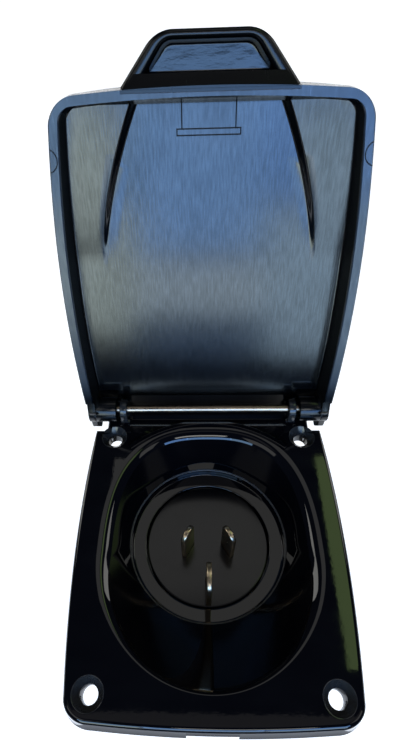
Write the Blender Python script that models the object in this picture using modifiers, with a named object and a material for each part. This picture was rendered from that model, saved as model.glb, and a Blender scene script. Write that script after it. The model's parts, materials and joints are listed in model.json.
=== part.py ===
"""Flush power inlet with a hinged weather lid, modelled as the parts it is assembled from.

Units are metres. +Z points out through the front of the inlet and +Y points to the hinge.
The origin is the middle of the rear cover's flat back, on the axis of the pin base.
"""

import math

import bmesh
import bpy
from mathutils import Matrix, Vector

# Front plate
PLATE_HALF_WIDTH = 0.0412
PLATE_WIDEST_Y = -0.0074
SIDE_BOW_RADIUS = 0.385
PLATE_TOP_Y = 0.0385
PLATE_BOTTOM_Y = -0.0563
BOTTOM_BOW_RADIUS = 0.295
PLATE_CORNER_RADIUS = 0.0078
SKIRT_DEPTH = 0.0070
SKIRT_WALL = 0.0022
SKIRT_LEAN = 0.0011
FACE_ROUNDING = 0.0013
FRONT_WALL = 0.0030
DRAIN_NOTCH_WIDTH = 0.0132
DRAIN_NOTCH_HEIGHT = 0.0032

# Bowl moulded into the plate
MOUTH_SIDE_MARGIN = 0.0080
MOUTH_TOP_Y = 0.0312
MOUTH_BOTTOM_Y = -0.0475
MOUTH_MIDDLE_Y = -0.0120
MOUTH_TOP_RATIO = 2.6
MOUTH_LIP_HIGH = 0.0040
MOUTH_LIP_LOW = 0.0009
BOWL_WALL = 0.0024
SHELF_DEPTH = 0.0245
SHELF_RADIUS = 0.0269
DISC_DEPTH = 0.0284
DISC_RADIUS = 0.02135
DISC_GAP = 0.0003
SHELF_FOOT_RISE = 0.0004
SHELF_FLOOR_RISE = 0.0005
SHELF_WALL_LEAN = 0.0006

# Drip rib above the bowl
RIB_RADIUS = 0.0399
RIB_CENTRE_Y = -0.0065
RIB_WIDTH = 0.0017
RIB_HEIGHT = 0.0008
RIB_HALF_ANGLE = math.radians(41.5)

# Mounting holes
HOLE_SIDE_MARGIN = 0.0096
HOLE_TOP_Y = 0.0271
HOLE_BOTTOM_Y = -0.0475
HOLE_RADIUS = 0.0024
COUNTERSINK_RADIUS = 0.0042
COUNTERSINK_DEPTH = 0.0021
BOSS_WALL = 0.0016

# Hinge
HINGE_Y = 0.0354
HINGE_HEIGHT = 0.00465
PIN_RADIUS = 0.0012
LUG_INNER_X = 0.0272
LUG_WIDTH = 0.0024
LUG_RADIUS = 0.0033
LUG_FOOT_SPREAD = 0.0005
LUG_FOOT_HEIGHT = 0.0007
BARREL_RADIUS = 0.0043
HINGE_SIDE_GAP = 0.0005
CORNER_NOTCH_WIDTH = 0.0029
CORNER_NOTCH_Y = 0.0312
LID_OPEN_ANGLE = math.radians(114.0)

# Lid, sized in its closed position
LID_OVERHANG = 0.0012
LID_LENGTH = 0.0930
LID_RIM_GAP = 0.0005
LID_CORNER_RADIUS = 0.0060
LID_END_BOW = 0.0020
LID_DEPTH = 0.0112
LID_SKIN = 0.0022
LID_RIM_WIDTH = 0.0027
LID_END_WALL = 0.0022
LID_EDGE_ROUNDING = 0.0025
LID_HEEL_LENGTH = 0.0048
SHOULDER_DROP = 0.0042
SHOULDER_STEP_WIDTH = 0.0018
SHOULDER_NEAR_X = 0.0188
SHOULDER_FAR_X = 0.0309
SHOULDER_RUN = 0.0506
SHOULDER_FADE = 0.0426
SHOULDER_INNER_SHARE = 0.80
SHOULDER_OUTER_SHARE = 0.86
EAR_WIDTH = 0.0037
EAR_RISE = 0.0030
EAR_DROP = 0.0052
EAR_BACK = 0.0008

# Finger pull on the free end of the lid
PULL_FOOT_HALF = 0.0226
PULL_TOP_HALF = 0.0126
PULL_LENGTH = 0.0112
PULL_CORNER_CUT = 0.0030
PULL_LIP = 0.0021
PULL_LIP_SET_BACK = 0.0022
PULL_WEB = 0.0022
PULL_SET_DOWN = 0.0006
PULL_ROUNDING = 0.0011
PULL_FOOT_LIP = 0.0027
PULL_SIDE_LIP = 0.0073
PULL_END_LIP = 0.0021
PULL_POCKET_CORNER_CUT = 0.0018

# Pin base and contact blades
BASE_SINK = 0.0046
BASE_FLANGE_GAP = 0.0006
BASE_FLANGE = 0.0030
BASE_EDGE = 0.0004
BASE_BARRIER = 0.0016
BASE_BARRIER_HEIGHT = 0.0080
BASE_BARRIER_REACH = 0.0142
PIN_GROUP_Y = -0.0057
BLADE_THICKNESS = 0.00163
LINE_BLADE_WIDTH = 0.00635
LINE_BLADE_LENGTH = 0.01706
LINE_BLADE_OFFSET = 0.00792
LINE_BLADE_TURN = math.radians(30.0)
EARTH_BLADE_WIDTH = 0.00908
EARTH_BLADE_LENGTH = 0.01994
EARTH_BLADE_OFFSET = 0.01031
BLADE_TIP_CHAMFER = 0.0005
BLADE_TAIL = 0.0050

# Terminals and their screws
TERMINAL_WIDTH = 0.0088
TERMINAL_THICKNESS = 0.0076
TERMINAL_HEIGHT = 0.0100
TUNNEL_RADIUS = 0.0017
TUNNEL_HEIGHT = 0.0027
TERMINAL_SCREW_RADIUS = 0.0014
TERMINAL_SCREW_HEAD_RADIUS = 0.0025
TERMINAL_SCREW_HEAD = 0.0020

# Base screws and seal
BASE_SCREW_COUNT = 3
BASE_SCREW_RADIUS = 0.0014
BASE_SCREW_HEAD_RADIUS = 0.0025
BASE_SCREW_HEAD = 0.0020
BASE_SCREW_GRIP = 0.0030
BASE_SEAL_THICKNESS = 0.0010
BASE_SEAL_GAP = 0.00065

# Flange gasket
GASKET_THICKNESS = 0.0040
GASKET_EDGE_GAP = 0.0004
GASKET_BOWL_GAP = 0.0012

# Rear cover
COVER_WALL = 0.0021
COVER_BACK = 0.0024
COVER_EDGE_ROUNDING = 0.0020
TERMINAL_ROOM = 0.0244
COVER_EAR_OFFSET = 0.0027
COVER_EAR_RADIUS = 0.0040
COVER_EAR_THICKNESS = 0.0045
PLATE_EAR_THICKNESS = 0.0078
COVER_SCREW_RADIUS = 0.0015
COVER_SCREW_HEAD_RADIUS = 0.0027
COVER_SCREW_HEAD = 0.0021
COVER_SCREW_GRIP = 0.0055

# Cable spout, grommet and cord clamp
CABLE_HEIGHT = 0.0090
SPOUT_RADIUS = 0.0082
SPOUT_WALL = 0.0018
SPOUT_END_Y = -0.0370
GROMMET_BORE = 0.0042
GROMMET_LIP = 0.0015
CLAMP_Y = -0.0228
CLAMP_LENGTH = 0.0190
CLAMP_WIDTH = 0.0042
CLAMP_THICKNESS = 0.0032
CLAMP_PILLAR_PITCH = 0.0150
CLAMP_PILLAR_RADIUS = 0.0021
CLAMP_PILLAR_HEIGHT = 0.0104
CLAMP_SCREW_RADIUS = 0.0010
CLAMP_SCREW_HEAD_RADIUS = 0.0019
CLAMP_SCREW_HEAD = 0.0016
CLAMP_SCREW_GRIP = 0.0050

# Fits
FIT_GAP = 0.0003
SCREW_GAP = 0.0003
OVERCUT = 0.0010

# Facets
MOUTH_SIDES = 64
ROUND_SIDES = 64
BORE_SIDES = 16
SCREW_SIDES = 16

# Heights that follow from the stack, from the back of the rear cover upwards
COVER_FLOOR_Z = COVER_BACK
FLANGE_BACK_Z = COVER_FLOOR_Z + TERMINAL_ROOM
FLANGE_FRONT_Z = FLANGE_BACK_Z + BASE_FLANGE
PLATE_REAR_Z = FLANGE_FRONT_Z + BASE_SEAL_THICKNESS + 2 * FIT_GAP
DISC_Z = PLATE_REAR_Z + BASE_SINK
FACE_Z = DISC_Z + DISC_DEPTH
SKIRT_Z = FACE_Z - SKIRT_DEPTH
SHELF_Z = FACE_Z - SHELF_DEPTH
HINGE_Z = FACE_Z + HINGE_HEIGHT
COVER_RIM_Z = PLATE_REAR_Z - FIT_GAP
TERMINAL_FRONT_Z = FLANGE_BACK_Z - FIT_GAP
TERMINAL_BACK_Z = TERMINAL_FRONT_Z - TERMINAL_HEIGHT
CABLE_Z = CABLE_HEIGHT
BORE_RADIUS = PIN_RADIUS + FIT_GAP
LUG_OUTER_X = LUG_INNER_X + LUG_WIDTH
BARREL_INNER_X = LUG_OUTER_X + LUG_FOOT_SPREAD + HINGE_SIDE_GAP

# Widths that follow from a neighbouring piece
MOUTH_HALF_WIDTH = PLATE_HALF_WIDTH - MOUTH_SIDE_MARGIN
HOLE_X = PLATE_HALF_WIDTH - HOLE_SIDE_MARGIN
BOSS_RADIUS = HOLE_RADIUS + BOSS_WALL
COVER_RADIUS = SHELF_RADIUS + BOWL_WALL
COVER_EAR_X = COVER_RADIUS + COVER_EAR_OFFSET
BASE_FLANGE_RADIUS = COVER_RADIUS - COVER_WALL - BASE_FLANGE_GAP
BASE_SEAL_INSIDE_RADIUS = DISC_RADIUS + BASE_SEAL_GAP
BASE_SCREW_CIRCLE = (BASE_SEAL_INSIDE_RADIUS + BASE_FLANGE_RADIUS - BASE_SEAL_GAP) / 2

COLOURS = {
    "gloss black": ((0.010, 0.010, 0.012, 1.0), 0.10, 0.0),
    "satin charcoal": ((0.020, 0.023, 0.030, 1.0), 0.45, 0.0),
    "bright steel": ((0.62, 0.58, 0.52, 1.0), 0.22, 1.0),
    "nickel brass": ((0.80, 0.68, 0.48, 1.0), 0.20, 1.0),
    "raw brass": ((0.72, 0.52, 0.22, 1.0), 0.30, 1.0),
    "black rubber": ((0.018, 0.018, 0.018, 1.0), 0.80, 0.0),
    "grey foam": ((0.060, 0.060, 0.060, 1.0), 0.95, 0.0),
    "zinc steel": ((0.55, 0.56, 0.58, 1.0), 0.35, 1.0),
}


def clear_scene():
    """Remove every object, so that the script can be run again."""
    for item in list(bpy.data.objects):
        bpy.data.objects.remove(item, do_unlink=True)


def make_collection(name):
    """Return a new collection linked to the scene."""
    collection = bpy.data.collections.new(name)
    bpy.context.scene.collection.children.link(collection)
    return collection


def make_material(name):
    """Return a plain Principled material from the colour table."""
    colour, roughness, metallic = COLOURS[name]
    material = bpy.data.materials.new(name)
    material.use_nodes = True
    shader = material.node_tree.nodes["Principled BSDF"]
    shader.inputs["Base Color"].default_value = colour
    shader.inputs["Roughness"].default_value = roughness
    shader.inputs["Metallic"].default_value = metallic
    material.diffuse_color = colour
    return material


clear_scene()
PARTS = make_collection("power_inlet")
CUTTERS = make_collection("power_inlet_cutters")
MATERIALS = {name: make_material(name) for name in COLOURS}


def place(name, bm, material=None, parent=None):
    """Turn a bmesh into an object: a part if it has a material, otherwise a hidden tool."""
    bmesh.ops.recalc_face_normals(bm, faces=bm.faces)
    mesh = bpy.data.meshes.new(name)
    bm.to_mesh(mesh)
    bm.free()
    item = bpy.data.objects.new(name, mesh)
    item.parent = parent
    finish_object(item, material)
    return item


def finish_object(item, material):
    """Link an object as a part or as a tool."""
    if material:
        item.data.materials.append(MATERIALS[material])
        PARTS.objects.link(item)
    else:
        CUTTERS.objects.link(item)
        item.hide_render = True
        item.display_type = "WIRE"


def boolean(target, tool, operation):
    """Add a Boolean modifier to the target."""
    modifier = target.modifiers.new(tool.name, "BOOLEAN")
    modifier.operation = operation
    modifier.object = tool
    modifier.solver = "EXACT"


def cut(target, *tools):
    """Take the tools out of the target."""
    for tool in tools:
        boolean(target, tool, "DIFFERENCE")


def weld(target, *tools):
    """Join the tools to the target as one moulding."""
    for tool in tools:
        boolean(target, tool, "UNION")


def add_box(bm, low, high):
    """Add a box between two corners."""
    low = Vector(low)
    high = Vector(high)
    matrix = Matrix.Translation((low + high) / 2) @ Matrix.Diagonal((*(high - low), 1))
    bmesh.ops.create_cube(bm, size=1, matrix=matrix)


def add_rod(bm, radius, start, end, sides=SCREW_SIDES):
    """Add a cylinder between two points."""
    start = Vector(start)
    end = Vector(end)
    run = end - start
    turn = Vector((0, 0, 1)).rotation_difference(run).to_matrix().to_4x4()
    matrix = Matrix.Translation((start + end) / 2) @ turn
    bmesh.ops.create_cone(bm, cap_ends=True, segments=sides, radius1=radius, radius2=radius,
                          depth=run.length, matrix=matrix)


def box(name, low, high, **options):
    """Return a box object."""
    bm = bmesh.new()
    add_box(bm, low, high)
    return place(name, bm, **options)


def rods(name, radius, ends, sides=SCREW_SIDES, **options):
    """Return one object that holds a cylinder for each pair of end points."""
    bm = bmesh.new()
    for start, end in ends:
        add_rod(bm, radius, start, end, sides)
    return place(name, bm, **options)


def loft(name, rings, hub=None, **options):
    """Return a closed solid through rings of equally many points."""
    bm = bmesh.new()
    add_loft(bm, rings, hub)
    return place(name, bm, **options)


def add_loft(bm, rings, hub=None):
    """Skin rings of equally many points and close both ends, a bowed last ring as a fan about a hub."""
    loops = [[bm.verts.new(point) for point in ring] for ring in rings]
    for lower, upper in zip(loops, loops[1:]):
        for index in range(len(lower)):
            after = (index + 1) % len(lower)
            bm.faces.new((lower[index], lower[after], upper[after], upper[index]))
    bm.faces.new(loops[0])
    if hub is None:
        bm.faces.new(loops[-1])
        return
    middle = bm.verts.new(hub)
    for first, second in zip(loops[-1], loops[-1][1:] + loops[-1][:1]):
        bm.faces.new((first, second, middle))


def turned(name, profile, sides=SCREW_SIDES, at=(0, 0), loop=False, **options):
    """Return a turned solid: a profile of radius and height, run down its outer side."""
    bm = bmesh.new()
    points = [bm.verts.new((radius, 0, height)) for radius, height in profile]
    for first, second in zip(points, points[1:]):
        bm.edges.new((first, second))
    if loop:
        bm.edges.new((points[-1], points[0]))
    item = place(name, bm, **options)
    item.location = (*at, 0)
    screw = item.modifiers.new("turn", "SCREW")
    screw.steps = sides
    screw.render_steps = sides
    screw.use_merge_vertices = True
    screw.merge_threshold = 0.000001
    return item


def screw(name, at, head_z, head, head_radius, radius, grip, material="zinc steel"):
    """Return a screw: positive grip runs up from its head, negative grip runs down."""
    seat_z = head_z + head if grip > 0 else head_z
    outer_z = head_z if grip > 0 else head_z + head
    tip_z = seat_z + grip
    profile = [(0, tip_z), (radius, tip_z), (radius, seat_z), (head_radius, seat_z),
               (head_radius, outer_z), (0, outer_z)]
    if grip < 0:
        profile.reverse()
    return turned(name, profile, at=at, material=material)


def plate_half_width(y):
    """Half width of the barrel-sided plate at a height on its face."""
    return PLATE_HALF_WIDTH - (y - PLATE_WIDEST_Y) ** 2 / (2 * SIDE_BOW_RADIUS)


def plate_outline(inset):
    """Right half outline and its mirror, drawn in by an inset, as one closed ring."""
    radius = PLATE_CORNER_RADIUS
    foot_x = plate_half_width(PLATE_BOTTOM_Y) - radius
    foot_y = PLATE_BOTTOM_Y + foot_x ** 2 / (2 * BOTTOM_BOW_RADIUS)
    side_y = foot_y + radius
    half = []
    for step in range(4):
        x = foot_x * step / 4
        half.append((x, PLATE_BOTTOM_Y + x ** 2 / (2 * BOTTOM_BOW_RADIUS) + inset))
    side_x = plate_half_width(side_y)
    for step in range(7):
        angle = math.pi / 2 * step / 6
        reach_x = side_x - inset - foot_x
        reach_y = side_y - foot_y - inset
        half.append((foot_x + reach_x * math.sin(angle), side_y - reach_y * math.cos(angle)))
    top_y = PLATE_TOP_Y - inset
    for step in range(1, 9):
        y = side_y + (top_y - side_y) * step / 8
        half.append((plate_half_width(y) - inset, y))
    return half + [(-x, y) for x, y in reversed(half[1:])]


def raised(outline, z):
    """Lift a flat outline to a height."""
    return [(x, y, z) for x, y in outline]


def mouth_point(angle):
    """Point of the bowl's mouth on the face: squarer above its middle, elliptical below."""
    cosine = math.cos(angle)
    sine = math.sin(angle)
    above = sine >= 0
    power = 2 / (MOUTH_TOP_RATIO if above else 2)
    reach = MOUTH_TOP_Y - MOUTH_MIDDLE_Y if above else MOUTH_MIDDLE_Y - MOUTH_BOTTOM_Y
    x = MOUTH_HALF_WIDTH * math.copysign(abs(cosine) ** power, cosine)
    y = MOUTH_MIDDLE_Y + reach * math.copysign(abs(sine) ** power, sine)
    return Vector((x, y))


def mouth_ring(inset, z_drop, sides=MOUTH_SIDES):
    """Ring of the mouth, drawn in along its normals, below the face."""
    step = 2 * math.pi / sides
    ring = []
    for index in range(sides):
        angle = step * index
        tangent = mouth_point(angle + step / 8) - mouth_point(angle - step / 8)
        inward = Vector((-tangent.y, tangent.x)).normalized()
        point = mouth_point(angle) + inward * inset(angle)
        ring.append((point.x, point.y, FACE_Z - z_drop(angle)))
    return ring


def lip_radius(angle):
    """Radius of the rounded lip: full above the middle, nearly sharp at the foot."""
    share = min(1, 1 + math.sin(angle))
    return MOUTH_LIP_LOW + (MOUTH_LIP_HIGH - MOUTH_LIP_LOW) * share


def round_ring(radius, z, sides=MOUTH_SIDES):
    """Circle about the axis of the pin base."""
    step = 2 * math.pi / sides
    return [(radius * math.cos(step * i), radius * math.sin(step * i), z) for i in range(sides)]


def hole_places():
    """Centres of the four mounting holes."""
    return [(x, y) for y in (HOLE_TOP_Y, HOLE_BOTTOM_Y) for x in (-HOLE_X, HOLE_X)]


def base_screw_places():
    """Centres of the screws that hold the pin base."""
    turns = [math.pi / 2 + 2 * math.pi * i / BASE_SCREW_COUNT for i in range(BASE_SCREW_COUNT)]
    return [(BASE_SCREW_CIRCLE * math.cos(a), BASE_SCREW_CIRCLE * math.sin(a)) for a in turns]


def corner_block_low():
    """Inner corner of the solid blocks behind the two notched top corners."""
    notch_x = plate_half_width(PLATE_TOP_Y) - CORNER_NOTCH_WIDTH
    return notch_x - SKIRT_WALL, CORNER_NOTCH_Y - SKIRT_WALL


def make_front_plate():
    """Flange, bowl, lugs and rib as one moulding."""
    front_inset = SKIRT_LEAN
    half_round = FACE_ROUNDING * (1 - math.sqrt(0.5))
    plate = loft("front_plate", [
        raised(plate_outline(0), SKIRT_Z),
        raised(plate_outline(front_inset), FACE_Z - FACE_ROUNDING),
        raised(plate_outline(front_inset + half_round), FACE_Z - half_round),
        raised(plate_outline(front_inset + FACE_ROUNDING), FACE_Z)], material="gloss black")
    hollow_z = FACE_Z - FRONT_WALL
    hollow = loft("flange_hollow", [
        raised(plate_outline(SKIRT_WALL), SKIRT_Z - OVERCUT),
        raised(plate_outline(SKIRT_WALL + front_inset), hollow_z)])
    cut(plate, hollow)
    weld(plate, make_bowl_body(), make_bosses(), make_corner_blocks(), make_plate_ears())
    weld(plate, make_lugs(), make_rib())
    cut(plate, make_bowl_space(), make_screw_holes(), make_rear_holes(), make_plate_cuts())
    return plate


def make_bowl_body():
    """Outside of the bowl, from inside the front wall down to the plate's rear face."""
    bury = FRONT_WALL / 2

    def skin(angle):
        return lip_radius(angle) - BOWL_WALL

    def lip_depth(angle):
        return lip_radius(angle) + BOWL_WALL / 2

    return loft("bowl_body", [
        mouth_ring(lambda angle: -BOWL_WALL / 2, lambda angle: bury),
        mouth_ring(lambda angle: -BOWL_WALL / 2, lambda angle: FRONT_WALL),
        mouth_ring(skin, lambda angle: FRONT_WALL + lip_depth(angle)),
        round_ring(SHELF_RADIUS + BOWL_WALL, SHELF_Z),
        round_ring(SHELF_RADIUS + BOWL_WALL, PLATE_REAR_Z)])


def make_bowl_space():
    """The open bowl: rounded lip, drawn-in wall, round well with a ring floor, seat of the pin base."""
    rings = [mouth_ring(lambda angle: 0, lambda angle: -OVERCUT)]
    for step in range(4):
        turn = math.pi / 2 * step / 3

        def inset(angle, turn=turn):
            return lip_radius(angle) * math.sin(turn)

        def drop(angle, turn=turn):
            return lip_radius(angle) * (1 - math.cos(turn))

        rings.append(mouth_ring(inset, drop))
    seat_radius = DISC_RADIUS + DISC_GAP
    rings.append(round_ring(SHELF_RADIUS, SHELF_Z))
    floor_z = DISC_Z + SHELF_FOOT_RISE
    rings.append(round_ring(SHELF_RADIUS - SHELF_WALL_LEAN, floor_z + SHELF_FLOOR_RISE))
    rings.append(round_ring(seat_radius, floor_z))
    rings.append(round_ring(seat_radius, PLATE_REAR_Z - OVERCUT))
    return loft("bowl_space", rings)


def make_bosses():
    """Pillars behind the mounting holes."""
    top_z = FACE_Z - FRONT_WALL / 2
    ends = [((x, y, SKIRT_Z), (x, y, top_z)) for x, y in hole_places()]
    return rods("hole_bosses", BOSS_RADIUS, ends, 2 * BORE_SIDES)


def make_corner_blocks():
    """Solid corners that the hinge notches are cut into."""
    low_x, low_y = corner_block_low()
    bm = bmesh.new()
    for side in (-1, 1):
        near = side * low_x
        far = side * (plate_half_width(PLATE_TOP_Y) - SKIRT_WALL / 2)
        add_box(bm, (min(near, far), low_y, SKIRT_Z + FIT_GAP),
                (max(near, far), PLATE_TOP_Y - SKIRT_WALL / 2, FACE_Z - FRONT_WALL / 2))
    return place("corner_blocks", bm)


def make_plate_ears():
    """Side ears on the bowl that take the cover screws."""
    ends = []
    for side in (-1, 1):
        x = side * COVER_EAR_X
        ends.append(((x, 0, PLATE_REAR_Z), (x, 0, PLATE_REAR_Z + PLATE_EAR_THICKNESS)))
    ears = rods("plate_ears", COVER_EAR_RADIUS, ends, 2 * BORE_SIDES)
    web = box("plate_ear_web", (-COVER_EAR_X, -COVER_EAR_RADIUS, PLATE_REAR_Z),
              (COVER_EAR_X, COVER_EAR_RADIUS, PLATE_REAR_Z + PLATE_EAR_THICKNESS))
    weld(ears, web)
    return ears


def make_lugs():
    """Two hinge lugs with spread feet."""
    bm = bmesh.new()
    bury = FRONT_WALL / 2
    for side in (-1, 1):
        ends = sorted((side * LUG_INNER_X, side * LUG_OUTER_X))
        outline = [(HINGE_Y + LUG_RADIUS, FACE_Z - bury)]
        for step in range(13):
            angle = math.pi * step / 12
            outline.append((HINGE_Y + LUG_RADIUS * math.cos(angle), HINGE_Z + LUG_RADIUS * math.sin(angle)))
        outline.append((HINGE_Y - LUG_RADIUS, FACE_Z - bury))
        add_loft(bm, [[(x, y, z) for y, z in outline] for x in ends])
    lugs = place("hinge_lugs", bm)
    feet = bmesh.new()
    for side in (-1, 1):
        ends = sorted((side * (LUG_INNER_X - LUG_FOOT_SPREAD), side * (LUG_OUTER_X + LUG_FOOT_SPREAD)))
        add_box(feet, (ends[0], HINGE_Y - LUG_RADIUS + LUG_FOOT_SPREAD, FACE_Z - bury / 2),
                (ends[1], HINGE_Y + LUG_RADIUS - LUG_FOOT_SPREAD, FACE_Z + LUG_FOOT_HEIGHT))
    weld(lugs, place("lug_feet", feet))
    return lugs


def make_rib():
    """Low arched rib that turns water away from the bowl."""
    rings = []
    inner = RIB_RADIUS - RIB_WIDTH
    slope = RIB_WIDTH / 4
    bottom_z = FACE_Z - FRONT_WALL / 2
    top_z = FACE_Z + RIB_HEIGHT
    for step in range(17):
        angle = math.pi / 2 + RIB_HALF_ANGLE * (step / 8 - 1)
        section = [(inner, bottom_z), (RIB_RADIUS, bottom_z), (RIB_RADIUS, FACE_Z),
                   (RIB_RADIUS - slope, top_z), (inner + slope, top_z), (inner, FACE_Z)]
        rings.append([(r * math.cos(angle), RIB_CENTRE_Y + r * math.sin(angle), z) for r, z in section])
    return loft("drip_rib", rings)


def make_screw_holes():
    """Countersunk mounting holes."""
    sink = COUNTERSINK_RADIUS - HOLE_RADIUS
    over_radius = COUNTERSINK_RADIUS + sink * OVERCUT / COUNTERSINK_DEPTH
    profile = [(0, FACE_Z + OVERCUT), (over_radius, FACE_Z + OVERCUT),
               (HOLE_RADIUS, FACE_Z - COUNTERSINK_DEPTH), (HOLE_RADIUS, SKIRT_Z - OVERCUT),
               (0, SKIRT_Z - OVERCUT)]
    bm = bmesh.new()
    for x, y in hole_places():
        spin_profile(bm, profile, (x, y))
    return place("mounting_holes", bm)


def spin_profile(bm, profile, at, sides=2 * BORE_SIDES):
    """Turn a profile about an upright axis inside a bmesh, as stacked rings between two caps."""
    step = 2 * math.pi / sides
    rings = []
    for radius, z in profile[1:-1]:
        rings.append([(at[0] + radius * math.cos(step * i), at[1] + radius * math.sin(step * i), z)
                      for i in range(sides)])
    add_loft(bm, rings)


def make_rear_holes():
    """Blind holes in the plate's rear for the base screws and the cover screws."""
    bm = bmesh.new()
    depth = BASE_SCREW_GRIP + SCREW_GAP
    for x, y in base_screw_places():
        add_rod(bm, BASE_SCREW_RADIUS + SCREW_GAP, (x, y, PLATE_REAR_Z - OVERCUT),
                (x, y, PLATE_REAR_Z + depth))
    depth = COVER_SCREW_GRIP + SCREW_GAP
    for side in (-1, 1):
        x = side * COVER_EAR_X
        add_rod(bm, COVER_SCREW_RADIUS + SCREW_GAP, (x, 0, PLATE_REAR_Z - OVERCUT),
                (x, 0, PLATE_REAR_Z + depth))
    return place("rear_screw_holes", bm)


def make_plate_cuts():
    """Drain notch, hinge corner notches and the bore for the hinge pin."""
    bm = bmesh.new()
    half = DRAIN_NOTCH_WIDTH / 2
    add_box(bm, (-half, PLATE_BOTTOM_Y - OVERCUT, SKIRT_Z - OVERCUT),
            (half, PLATE_BOTTOM_Y + SKIRT_LEAN + SKIRT_WALL + OVERCUT, SKIRT_Z + DRAIN_NOTCH_HEIGHT))
    notch_x = plate_half_width(PLATE_TOP_Y) - CORNER_NOTCH_WIDTH
    for side in (-1, 1):
        ends = sorted((side * notch_x, side * (PLATE_HALF_WIDTH + OVERCUT)))
        add_box(bm, (ends[0], CORNER_NOTCH_Y, SKIRT_Z - OVERCUT),
                (ends[1], PLATE_TOP_Y + OVERCUT, FACE_Z + OVERCUT))
        ends = sorted((side * (LUG_INNER_X - OVERCUT), side * (LUG_OUTER_X + OVERCUT)))
        add_rod(bm, BORE_RADIUS, (ends[0], HINGE_Y, HINGE_Z), (ends[1], HINGE_Y, HINGE_Z), BORE_SIDES)
    return place("plate_cuts", bm)


# The lid is drawn closed, about the hinge axis: X along the axis, -Y to the free end, +Z outwards
RIM_Z = LID_RIM_GAP - HINGE_HEIGHT
SKIN_Z = RIM_Z + LID_DEPTH
FLOOR_Z = SKIN_Z - LID_SKIN
HEEL_TURN = math.radians(50)
HEEL_START_TURN = math.radians(35)
BARREL_START_TURN = math.radians(145)
SIDE_START_TURN = math.radians(-102)


def lid_half_width(run):
    """Half width of the lid at a distance from the hinge axis."""
    return plate_half_width(HINGE_Y - run) + LID_OVERHANG


def smooth(value):
    """Ease from 0 to 1."""
    value = min(1, max(0, value))
    return value * value * (3 - 2 * value)


def shoulder_x(run):
    """Line of the step between the centre panel and the sloping shoulder."""
    share = 1 - min(1, max(0, (LID_LENGTH - LID_END_WALL - run) / SHOULDER_RUN))
    return SHOULDER_FAR_X - (SHOULDER_FAR_X - SHOULDER_NEAR_X) * share ** 2


def shoulder_drop(run):
    """How far the shoulder has come down at a distance from the hinge axis."""
    return SHOULDER_DROP * smooth((run - LID_LENGTH + LID_END_WALL + SHOULDER_FADE) / SHOULDER_FADE)


def lid_section(run, half_width, top_drop, inset_z, bottom_z, rounding):
    """Cross-section of the lid at one run: flat foot, side walls, shoulders and centre panel."""
    step_x = shoulder_x(run)
    low = SKIN_Z - inset_z - top_drop - shoulder_drop(run)
    high = SKIN_Z - inset_z - top_drop
    inner = min(step_x - SHOULDER_STEP_WIDTH / 2, half_width * SHOULDER_INNER_SHARE)
    outer = min(step_x + SHOULDER_STEP_WIDTH / 2, half_width * SHOULDER_OUTER_SHARE)
    half = [(half_width, bottom_z), (half_width, low - rounding)]
    for step in (1, 2):
        angle = math.pi / 4 * step
        half.append((half_width - rounding * (1 - math.cos(angle)), low - rounding * (1 - math.sin(angle))))
    half += [(outer, low), (inner, high), (inner * 0.5, high)]
    ring = half + [(0, high)] + [(-x, z) for x, z in reversed(half)]
    points = []
    for x, z in ring:
        bow = LID_END_BOW * (x / PLATE_HALF_WIDTH) ** 2 * smooth((run - LID_LENGTH / 2) / (LID_LENGTH / 2))
        points.append((x, bow - run, z))
    return points


def lid_solid(name, start, wall_x, wall_end, skin, bottom_z, rounding, **options):
    """Loft the lid's outside, or the space inside it, along its length."""
    end = LID_LENGTH - wall_end
    radius = max(LID_CORNER_RADIUS - wall_x, 2 * rounding)
    plain = [start + (end - radius - start) * step / 9 for step in range(10)]
    rings = [lid_section(run, lid_half_width(run) - wall_x, 0, skin, bottom_z, rounding) for run in plain]
    for step in range(1, 7):
        angle = math.pi / 2 * step / 6
        run = end - radius + radius * math.sin(angle)
        width = lid_half_width(run) - wall_x - radius * (1 - math.cos(angle))
        over = max(0, run - (end - rounding)) / rounding
        drop = rounding * (1 - math.sqrt(max(0, 1 - over ** 2)))
        rings.append(lid_section(run, width, drop, skin, bottom_z, rounding))
    hub = (0, -end, (bottom_z + SKIN_Z - skin - SHOULDER_DROP) / 2)
    return loft(name, rings, hub, **options)


def heel_y(radius, height):
    """Place of the heel's slope at a height; the slope touches a circle about the hinge axis."""
    return radius * math.cos(HEEL_TURN) - (height - radius * math.sin(HEEL_TURN)) * math.tan(HEEL_TURN)


def hinge_arc(radius, first, last, steps):
    """Points of an arc about the hinge axis in the side view."""
    turns = [first + (last - first) * step / steps for step in range(steps + 1)]
    return [(radius * math.cos(turn), radius * math.sin(turn)) for turn in turns]


def skin_end_outline():
    """Side view of the skin that runs on over the lugs to the heel's slope."""
    return [(-LID_HEEL_LENGTH, FLOOR_Z), (heel_y(BARREL_RADIUS, FLOOR_Z), FLOOR_Z),
            (heel_y(BARREL_RADIUS, SKIN_Z), SKIN_Z), (-LID_HEEL_LENGTH, SKIN_Z)]


def bridge_outline():
    """Side view of the slope that closes the lid behind the bare stretch of the hinge pin."""
    inside = BARREL_RADIUS - LID_SKIN
    points = hinge_arc(BARREL_RADIUS, HEEL_START_TURN, HEEL_TURN, 3)
    points += [(heel_y(BARREL_RADIUS, SKIN_Z), SKIN_Z), (-LID_HEEL_LENGTH, SKIN_Z)]
    points += [(-LID_HEEL_LENGTH, FLOOR_Z), (heel_y(inside, FLOOR_Z), FLOOR_Z)]
    return points + hinge_arc(inside, HEEL_TURN, HEEL_START_TURN, 2)


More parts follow.
